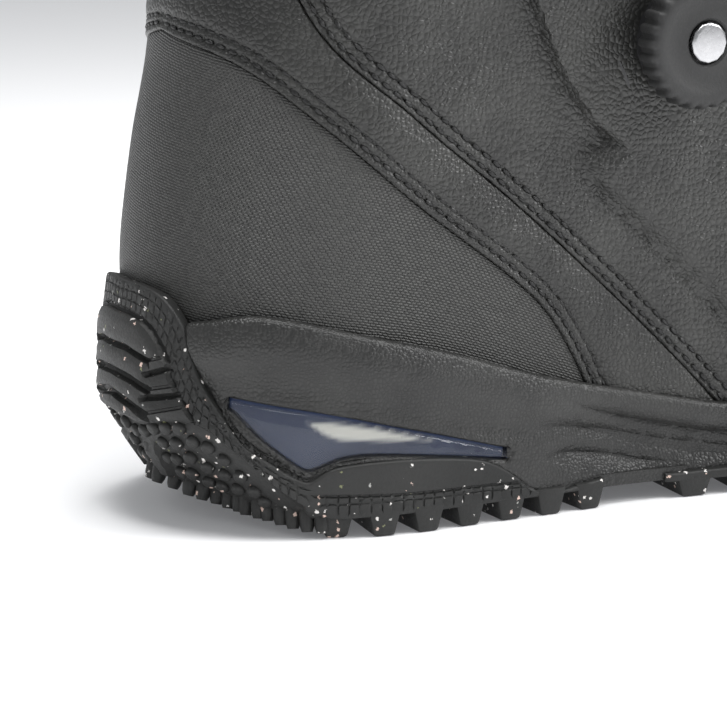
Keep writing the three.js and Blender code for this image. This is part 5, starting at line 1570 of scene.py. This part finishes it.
def makeQuarters():
    settings = footPanels["quarter"]
    edge = endAt(throatEdge(84, 128), lowerFlex)
    top = levelLine(lowerFlex, np.linspace(twoLine[-1, 0], edge[-1, 0], 70), 100)
    foot = levelLine(lambda x: np.full(np.shape(x), throatFoot), np.linspace(edge[0, 0], np.pi, 14), 86)
    edge = edge[edge[:, 1] > foot[0, 1] + 0.5]
    three = threeLine[threeLine[:, 1] < foot[-1, 1] - 1]
    if three[-1, 0] < np.pi - 0.02:
        three = np.vstack([three, [[np.pi, foot[-1, 1] - 6]]])
    loop = np.vstack([twoLine[:-1], top, edge[::-1], foot, three[::-1],
                      hemLine(three[0, 0], twoLine[0, 0], 40)[1:-1]])
    rows = [sewBoth(seamTwo, away, settings["lift"], (aboveHem, belowFlex)) for away in footPanels["rowsTwo"]]
    for away in footPanels["rowsThree"]:
        low = lambda line: 66 - line[:, 1]
        rows.append(sewBoth(seamThree, away, settings["lift"], (aboveHem, low)))
    t, h = sideToForm(*spline(footPanels["plateau"], per=6).T)
    border = flat(np.stack([t, h], 1), footRow)
    field = np.vstack([border, [[border[-1, 0], 200], [border[0, 0], 200]]])
    rise, slope = footPanels["plateauRise"], footPanels["plateauSlope"]

    def raised(p):
        inside = insideOf(p, [field])
        away = lineDistance(p, [border])
        return rise * smooth(0, slope, away) * inside - 0.7 * np.exp(-(away / 1.5) ** 2) * smooth(96, 80,
                p[:, 1])

    makeSides("quarter", "foot", "quarter_", loop, rows, settings, footRow, raised)


def makeVamp():
    settings = footPanels["vamp"]
    loop = np.vstack([threeLine, across(threeLine, np.pi)[::-1], hemLine(2 * np.pi - threeLine[0, 0],
                      2 * np.pi - toeLine[0, 0], 24)[1:-1], across(toeLine, np.pi), toeLine[::-1],
                      hemLine(toeLine[0, 0], threeLine[0, 0], 24)[1:-1]])

    def folds(p):
        t = angleAcross(p[:, 0], footRow)
        at = onForm(p[:, 1], t)
        wave = np.sin((at[:, 0] + 5 * np.sin(at[:, 1] / 17)) / 3.4)
        fade = smooth(40, 62, p[:, 1]) * smooth(204, 214, at[:, 0]) * smooth(240, 226, at[:, 0])
        return 0.45 * wave * fade

    made = panel("vampPanel", loop, "pebbled", settings, footRow, folds)
    settle(made, "foot", "pebbled_leather", "vamp")


def makeToeCap():
    settings = footPanels["toe"]
    loop = np.vstack([toeLine, across(toeLine, np.pi)[::-1],
                      hemLine(2 * np.pi - toeLine[0, 0], toeLine[0, 0], 90)[1:-1]])
    rows = []
    for away in footPanels["rowsToe"]:
        line = keep(ringLine(forward(seamToe, away)), aboveHem)
        rows.append(sewRow(line, "foot", settings["lift"], footRow))
        rows.append(sewRow(across(line, np.pi), "foot", settings["lift"], footRow))
    made = panel("toeCapPanel", loop, "toe", settings, footRow, sewnRelief(rows), sewnFeatures(rows))
    settle(made, "foot", "toe_synthetic", "toe_cap")


makeHeelPanel()
makeHeelStrap()
makeQuarters()
print("heel panel, strap and quarters made")
makeVamp()
makeToeCap()
print("vamp and toe cap made")

cuffPanels = {
    "spine": {"step": 3.0, "rim": 2.0, "roll": 0.8, "thick": 2.6, "backStep": 10.0, "lift": 0.0},
    "side": {"step": 2.8, "rim": 1.8, "roll": 0.9, "thick": 3.2, "backStep": 10.0, "lift": 0.6},
    "collar": {"step": 1.8, "rim": 1.5, "roll": 1.6, "thick": 2.7, "backStep": 6.0, "lift": 0.4},
    "gusset": {"step": 1.6, "rim": 1.6, "roll": 0.4, "thick": 1.2, "backStep": 5.0, "lift": -3.0},
    "bridge": {"step": 1.6, "rim": 1.6, "roll": 0.4, "thick": 0.6, "backStep": 5.0, "lift": -4.3},
    "collarSwell": 3.4, "bellows": 0.9, "bellowsPitch": 5.2, "bellowsFolds": 4.0,
    "bridgePleat": 1.5, "bridgePitch": 6.5, "rows": (2.0, 4.2), "throatRow": 4.5,
    # raised field on each side of the cuff, in the side view
    "field": [(66, 172), (88, 160), (112, 166), (106, 200), (96, 226), (78, 236), (62, 226), (58, 198)],
    "fieldRise": 1.1, "fieldSlope": 5.0, "fieldValley": 0.25,
}


def collarLow(x):
    return collarTop(x) - collarDepth


def makeCuff():
    def inCuff(line):
        x, _, z = sideView(line)
        return np.minimum(z - upperFlex(x), collarLow(x) - z)

    edge = keep(ringLine(spineEdge), inCuff)
    low = levelLine(upperFlex, np.linspace(edge[0, 0], -edge[0, 0], 30), 97)
    high = levelLine(collarLow, np.linspace(-edge[-1, 0], edge[-1, 0], 40), 255)
    spine = np.vstack([edge[::-1], low[1:-1], across(edge), high[1:-1]])
    made = panel("cuffSpinePanel", spine, "weave", cuffPanels["spine"], legRow, uv=clothOf(legRow, 0.12))
    settle(made, "cuff", "woven_synthetic", "cuff_spine")
    settings = cuffPanels["side"]
    throat = endAt(keep(throatEdge(96, 300, 0, 90), above(upperFlex)), collarLow)
    low = levelLine(upperFlex, np.linspace(edge[0, 0], throat[0, 0], 60), 110)
    high = levelLine(collarLow, np.linspace(throat[-1, 0], edge[-1, 0], 60), 260)
    loop = np.vstack([low, throat[1:], high[1:], edge[::-1][1:-1]])
    rows = []
    for away in cuffPanels["rows"]:
        line = keep(ringLine(forward(spineEdge, away)), inCuff)
        rows.append(sewRow(line, "cuff", settings["lift"], legRow))
        sewRow(across(line), "cuff", settings["lift"], legRow)
    inner = endAt(keep(throatEdge(96, 300, cuffPanels["throatRow"], 90), above(upperFlex)), collarLow)
    rows.append(sewRow(inner, "cuff", settings["lift"], legRow))
    sewRow(across(inner), "cuff", settings["lift"], legRow)
    ring = flat(np.stack(sideToForm(*spline(cuffPanels["field"], closed=True, per=8).T), 1), legRow)
    rise, slope, valley = (cuffPanels[key] for key in ("fieldRise", "fieldSlope", "fieldValley"))

    def raised(p):
        away = lineDistance(p, [ring], True)
        return rise * smooth(0, slope, away) * insideOf(p, [ring]) - valley * np.exp(-(away / 1.6) ** 2)

    makeSides("cuffSide", "cuff", "cuff_panel_", loop, rows, settings, legRow, raised)


def makeCollar():
    settings = cuffPanels["collar"]
    throat = endAt(keep(throatEdge(230, 312, 0, 60), above(collarLow)), collarTop)
    low = levelLine(collarLow, np.linspace(-throat[0, 0], throat[0, 0], 120), 258)
    high = levelLine(collarTop, np.linspace(throat[-1, 0], -throat[-1, 0], 120), 274)
    loop = np.vstack([low, throat[1:], high[1:], across(throat)[::-1][1:-1]])
    middle = flat(levelLine(lambda x: collarTop(x) - collarDepth * 0.52, np.linspace(-2.6, 2.6, 120), 266),
                  legRow)

    def stuffed(p):
        edge = lineDistance(p, [flat(loop, legRow)], True)
        rib = lineDistance(p, [middle])
        puff = np.sqrt(np.clip(1 - (1 - np.clip(edge / 6.5, 0, 1)) ** 2, 0, 1))
        return cuffPanels["collarSwell"] * puff * (1
                - 0.7 * np.exp(-(rib / 1.5) ** 2)) + 0.12 * np.sin(p[:, 0] / 3.1)

    made = panel("paddedCollar", loop, "textile", settings, legRow, stuffed,
                 grooveBands(middle, 0.3, 1.0, 1.4), uv=clothOf(legRow))
    settle(made, "cuff", "collar_textile", "cuff_collar")


def makeGussets():
    settings = cuffPanels["gusset"]
    under = lambda x: lowerFlex(x) - 4
    over = lambda x: upperFlex(x) + 4
    first = float(ringLine(np.array([(54.0, 60.0), (54.0, 118.0), (54.0, 119.0)]))[1, 0])
    edge = endAt(keep(throatEdge(92, 190, -2.0, 80), above(under)), over)
    low = levelLine(under, np.linspace(first, edge[0, 0], 50), 100)
    high = levelLine(over, np.linspace(edge[-1, 0], first, 50), 120)
    loop = np.vstack([low, edge[1:], high[1:]])

    def pleats(p):
        x = onForm(p[:, 1], angleAcross(p[:, 0], footRow))
        bottom, top = lowerFlex(x[:, 0]), upperFlex(x[:, 0])
        share = (x[:, 2] - bottom) / np.maximum(top - bottom, 2)
        count = np.clip((top - bottom) / cuffPanels["bellowsPitch"], 0.5, 6)
        wave = 0.5 - 0.5 * np.cos(2 * np.pi * share * cuffPanels["bellowsFolds"])
        return -cuffPanels["bellows"] * wave * smooth(0.5, 3, count)

    bridge = frontBand(lambda x: lowTongueTop(x) - 5, lambda x: tongueFoot(x) + 3, -1.8, 100, 200)
    bridgeLow, bridgeHigh = bridge[:, 1].min() + 6, bridge[:, 1].max() - 6

    def frontPleats(p):
        h = p[:, 1]
        wave = 0.5 - 0.5 * np.cos(h * 2 * np.pi / cuffPanels["bridgePitch"])
        return cuffPanels["bridgePleat"] * wave * smooth(0, 4, h - bridgeLow) * smooth(0, 4, bridgeHigh - h)

    made = panel("tongueBridge", bridge, "textile", cuffPanels["bridge"], legRow, frontPleats,
                 uv=clothOf(legRow))
    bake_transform(made)
    for side, label in ((1, "Lateral"), (-1, "Medial")):
        made = panel("flexGusset" + label, loop if side > 0 else across(loop), "textile", settings, footRow,
                     pleats, uv=clothOf(footRow))
        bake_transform(made)


makeCuff()
makeCollar()
print("cuff and collar made")

softParts = {
    "tongue": {"step": 2.2, "rim": 1.8, "roll": 1.1, "thick": 3.4, "backStep": 7.0, "lift": -0.7},
    "lowTongue": {"step": 2.2, "rim": 1.8, "roll": 1.0, "thick": 3.0, "backStep": 7.0, "lift": -1.1},
    "linerTongue": {"step": 2.6, "rim": 2.0, "roll": 2.0, "thick": 4.6, "backStep": 5.0, "lift": -5.0},
    "linerCuff": {"step": 3.4, "rim": 2.2, "roll": 2.2, "thick": 5.0, "backStep": 5.0, "lift": -4.8},
    "linerFoot": {"step": 6.0, "rim": 3.5, "roll": 2.0, "thick": 5.0, "backStep": 6.0, "lift": -4.8},
    "laceRows": (262, 236, 210, 184), "lowRows": (126, 114, 103, 92.5), "swell": 1.9,
}


def frontBand(read0, read1, extra, h0, h1):
    edge = endAt(keep(throatEdge(h0, h1, extra, 110), above(read0)), read1)
    bottom = levelLine(read0, np.linspace(2 * np.pi - edge[0, 0], edge[0, 0], 24), edge[0, 1])
    top = levelLine(read1, np.linspace(edge[-1, 0], 2 * np.pi - edge[-1, 0], 24), edge[-1, 1])
    return np.vstack([edge, top[1:], across(edge, np.pi)[::-1][1:], bottom[1:-1]])


def padded(p, loop, rows, swell, row, dip):
    edge = lineDistance(p, [flat(loop, row)], True)
    puff = np.sqrt(np.clip(1 - (1 - np.clip(edge / 7, 0, 1)) ** 2, 0, 1))
    offCentre = np.abs(p[:, 0] - flatAcross(np.pi, row))
    lift = swell * puff
    for h in rows:
        lift = lift * (1 - 0.93 * np.exp(-((p[:, 1] - h + dip * (offCentre / 30) ** 2) / 2.4) ** 2))
    return lift


def makeTongues():
    loop = frontBand(tongueFoot, lambda x: collarTop(x) + 10, -1.2, 100, 315)
    rows = softParts["laceRows"]
    made = panel("paddedTongue", loop, "tongue", softParts["tongue"], legRow,
                 lambda p: padded(p, loop, rows, softParts["swell"], legRow, 2.0))
    settle(made, "tongue", "tongue_leather", "tongue_upper")
    low = frontBand(lambda x: np.full(np.shape(x), throatFoot + 1), lowTongueTop, -1.2, 80, 150)
    made = panel("lowTonguePad", low, "tongue", softParts["lowTongue"], legRow,
                 lambda p: padded(p, low, softParts["lowRows"], 1.6, legRow, 9.0))
    settle(made, "foot", "tongue_leather", "tongue_lower")
    inner = frontBand(straightLines([(40, 159), (190, 185)]), lambda x: collarTop(x) + 14, -5.2, 100, 315)
    made = panel("innerTonguePad", inner, "liner", softParts["linerTongue"], legRow,
                 lambda p: padded(p, inner, (196, 222, 248, 274), 0.7, legRow, 0.0), uv=clothOf(legRow))
    settle(made, "tongue", "liner_textile", "liner_tongue")


def makeLiner():
    throat = endAt(keep(throatEdge(90, 315, -4, 110), above(upperFlex, 1)), lambda x: collarTop(x) + 8)
    low = levelLine(lambda x: upperFlex(x) + 1, np.linspace(-throat[0, 0], throat[0, 0], 120), 110)
    high = levelLine(lambda x: collarTop(x) + 8, np.linspace(throat[-1, 0], -throat[-1, 0], 120), 280)
    loop = np.vstack([low, throat[1:], high[1:], across(throat)[::-1][1:-1]])
    made = panel("innerCuffPad", loop, "liner", softParts["linerCuff"], legRow,
                 lambda p: 0.35 * np.sin(p[:, 0] / 9) * np.sin(p[:, 1] / 12), uv=clothOf(legRow))
    settle(made, "cuff", "liner_textile", "liner_cuff")
    top = levelLine(lambda x: lowerFlex(x) - 1, np.linspace(np.pi, -np.pi, 160), 100)
    sides = np.linspace(3.2, top[0, 1], 26)
    loop = np.vstack([np.stack([np.linspace(-np.pi, np.pi, 160), np.full(160, 3.2)], 1),
                      np.stack([np.full(24, np.pi), sides[1:-1]], 1), top,
                      np.stack([np.full(24, -np.pi), sides[1:-1][::-1]], 1)])
    made = panel("innerFootPad", loop, "liner", softParts["linerFoot"], footRow, uv=clothOf(footRow))
    settle(made, "foot", "liner_textile", "liner_foot")


def makeFootbed():
    t = np.linspace(0, 2 * np.pi, 160, endpoint=False)
    rim = onForm(9.0, t, -10.4)[:, :2]

    def cupped(p):
        edge = lineDistance(p, [rim], True)
        return 1.6 * smooth(12, 0, edge) * smooth(130, 60, p[:, 0]) - 0.5 * smooth(0, 16, edge)

    made = shell([rim], {"step": 4.0, "rim": 2.4, "roll": 1.2, "thick": 4.0, "backStep": 10.0},
                 lambda x, y, out: np.stack([x, y, footLine(x) + 11.2 + out], -1), cupped)
    made = makeObject("footbedPad", [made], finishes["bed"], 40)
    settle(made, "foot", "footbed_foam", "footbed")


makeGussets()
makeTongues()
makeLiner()
makeFootbed()
print("tongues and inner boot made")


def fromCad(name, nodes, finish, bevel=None, rounds=0, sharp=40):
    bm = bmesh.new()
    for key in nodes:
        bm.from_mesh(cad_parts[key].data)
    bmesh.ops.remove_doubles(bm, verts=bm.verts, dist=1e-6)
    if bevel:
        bmesh.ops.dissolve_limit(bm, angle_limit=math.radians(3), verts=bm.verts, edges=bm.edges)
    mesh = bpy.data.meshes.new(name)
    bm.to_mesh(mesh)
    bm.free()
    made = bpy.data.objects.new(name, mesh)
    scene.collection.objects.link(made)
    if bevel:
        bevelEdges(made, bevel, 32)
    if rounds:
        soft = made.modifiers.new("round", "SUBSURF")
        soft.levels = soft.render_levels = rounds
    baked = bake(made)
    tidyMesh(baked)
    finishMesh(baked, sharp)
    baked.materials.clear()
    baked.materials.append(finishes[finish])
    return made


def makeHardware():
    made = fromCad("lowLaceCord", ["lower_lace"], "lace", rounds=1, sharp=70)
    settle(made, "foot", "coated_lace", "lower_lace")
    made = fromCad("highLaceCord", ["upper_lace"], "lace", rounds=1, sharp=70)
    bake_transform(made)
    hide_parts("upper_lace")
    for zone, body in (("lower", "foot"), ("upper", "cuff")):
        guides = [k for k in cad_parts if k.startswith(zone + "_guide")]
        made = fromCad(zone + "Guides", guides, "nylon", bevel=0.45)
        settle(made, body, "guide_nylon", *guides)
        made = fromCad(zone + "DialSeat", [zone + "_dial_base"], "dialBody", bevel=0.5)
        settle(made, body, "dial_nylon", zone + "_dial_base")
        made = fromCad(zone + "DialReel", [zone + "_dial_spool"], "dialBody", bevel=0.2)
        settle(made, zone + "_spool", "dial_nylon", zone + "_dial_spool")
        made = fromCad(zone + "DialScrew", [zone + "_dial_axle"], "steel", bevel=0.25)
        settle(made, zone + "_axle", "screw_steel", zone + "_dial_axle")
    made = fromCad("heelPlugInsert", ["heel_plug"], "orange", bevel=0.5)
    settle(made, "foot", "orange_foam", "heel_plug")


dials = {"lower": {"h": 92.0, "x": 122.0}, "upper": {"h": 236.0, "x": 82.0},
         "radius": 15.3, "low": 6.5, "high": 13.5, "ribs": 28, "ribDepth": 0.75, "bore": 2.2, "recess": 5.0}


def makeKnob(zone):
    h, x = dials[zone]["h"], dials[zone]["x"]
    t = float(np.arccos(1 - 2 * (x - backProfile(h)) / (frontProfile(h) - backProfile(h))))
    seat = onForm(h, t)
    axis = onForm(h, t, 1.0) - seat
    side = np.cross(axis, (0, 0, 1.0))
    side /= np.linalg.norm(side)
    third = np.cross(axis, side)
    low, high, radius = dials["low"], dials["high"], dials["radius"]
    profile = [(dials["bore"], low, 0), (radius - 2.6, low, 0), (radius - 1.6, low + 0.15, 0),
               (radius - 0.5, low + 0.6, 1),
               (radius, low + 1.4, 1), (radius, low + 2.6, 1), (radius - 0.15, high - 2.6, 1),
               (radius - 0.35, high - 1.2, 1),
               (radius - 1.1, high - 0.4, 0.6), (radius - 2.2, high - 0.05, 0), (radius - 3.2, high, 0),
               (radius - 4.4, high - 0.25, 0), (radius - 5.4, high - 0.75, 0), (radius - 8.2, high - 0.95, 0),
               (dials["recess"] + 0.5, high - 0.7, 0), (dials["recess"], high - 1.1, 0),
               (dials["recess"], high - 2.2, 0), (dials["bore"], high - 2.2, 0)]
    n, m = 252, len(profile)
    a = np.arange(n) * 2 * np.pi / n
    wave = np.clip(0.5 + 0.9 * np.cos(dials["ribs"] * a), 0, 1)
    rings = []
    for r, z, share in profile:
        rr = r - dials["ribDepth"] * share * (1 - wave)
        ring = seat + rr[:, None] * (np.cos(a)[:, None] * side + np.sin(a)[:, None] * third) + z * axis
        rings.append(ring)
    verts = np.vstack(rings)
    faces = []
    for j in range(m):
        i0, i1 = np.arange(n) + j * n, np.arange(n) + ((j + 1) % m) * n
        faces.append(np.stack([i0, np.roll(i0, -1), np.roll(i1, -1), i1], 1))
    made = makeObject(zone + "DialGrip", [(verts, np.vstack(faces))], finishes["dialGrip"], 38)
    settle(made, zone + "_knob", "dial_rubber", zone + "_dial_knob")


# node, body, height on the form, angle, width, reach, rise
pullLoops = {"rearLoopStrap": ("rear_pull_loop", "cuff", 236.0, 0.0, 22, 9, 24),
             "tongueLoopStrap": ("tongue_pull_loop", "tongue", 274.0, np.pi, 20, 9, 20)}


def makeLoop(name, cadNode, body, h, t, width, reach, rise):
    p, n = onForm(h, t), onForm(h, t, 1.0) - onForm(h, t)
    up = np.array([0, 0, 1.0])
    side = np.cross(up, n)
    side /= np.linalg.norm(side)
    path = spline([(0.9, -rise), (1.4, -rise * 0.8), (reach * 0.62, -rise * 0.52), (reach + 0.5, -rise * 0.1),
                   (reach + 0.3, rise * 0.22), (reach * 0.6, rise * 0.58), (1.4, rise * 0.84), (0.9, rise)],
                  per=12)
    s = np.concatenate([[0], np.cumsum(np.linalg.norm(np.diff(path, axis=0), axis=1))])

    def place(a, b, out):
        u, v = np.interp(a, s, path[:, 0]), np.interp(a, s, path[:, 1])
        du, dv = np.interp(a, s, np.gradient(path[:, 0], s)), np.interp(a, s, np.gradient(path[:, 1], s))
        size = np.hypot(du, dv)
        off = out + 0.8
        u2, v2 = u + dv / size * off, v - du / size * off
        return p + u2[:, None] * n + v2[:, None] * up + b[:, None] * side

    half = width / 2
    loop = np.array([(0, -half), (s[-1], -half), (s[-1], half), (0, half)], float)
    made = shell([loop], {"step": 1.5, "rim": 1.2, "roll": 0.5, "thick": 1.6, "backStep": 2.0}, place,
                 lambda q: 0.1 * np.cos(q[:, 1] * 2.1)
                 - 0.12 * np.exp(-((np.abs(q[:, 1]) - half + 2.2) / 0.5) ** 2))
    made = makeObject(name, [made], finishes["webbing"], 45)
    settle(made, body, "webbing", cadNode)


makeHardware()
makeKnob("lower")
makeKnob("upper")
for name, values in pullLoops.items():
    makeLoop(name, *values)
for body, rows in stitchSpots.items():
    at, out, along = (np.vstack([row[k] for row in rows]) for k in range(3))
    sewn = repeated(body + "Stitches", beadTree, at, out, along,
                    (stitch["long"], stitch["wide"], stitch["high"]),
                    {"Sides": 7, "Rings": 5, "Flat top": 1.0, "Unevenness": 0.06, "Seed": 4},
                    finishes["thread"], 70)
    settle(sewn, body, "pebbled_leather")
print("hardware, loops and stitches made")

keptFinishes = {"heel_plug": "orange", "shank": "composite", "heel_counter": "composite",
                "toe_stiffener": "composite",
                "lasting_board": "board", "heel_gel_core": "gel"}
for name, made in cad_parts.items():
    key = keptFinishes.get(name, "nylon")
    made.data.materials.clear()
    made.data.materials.append(finishes[key])
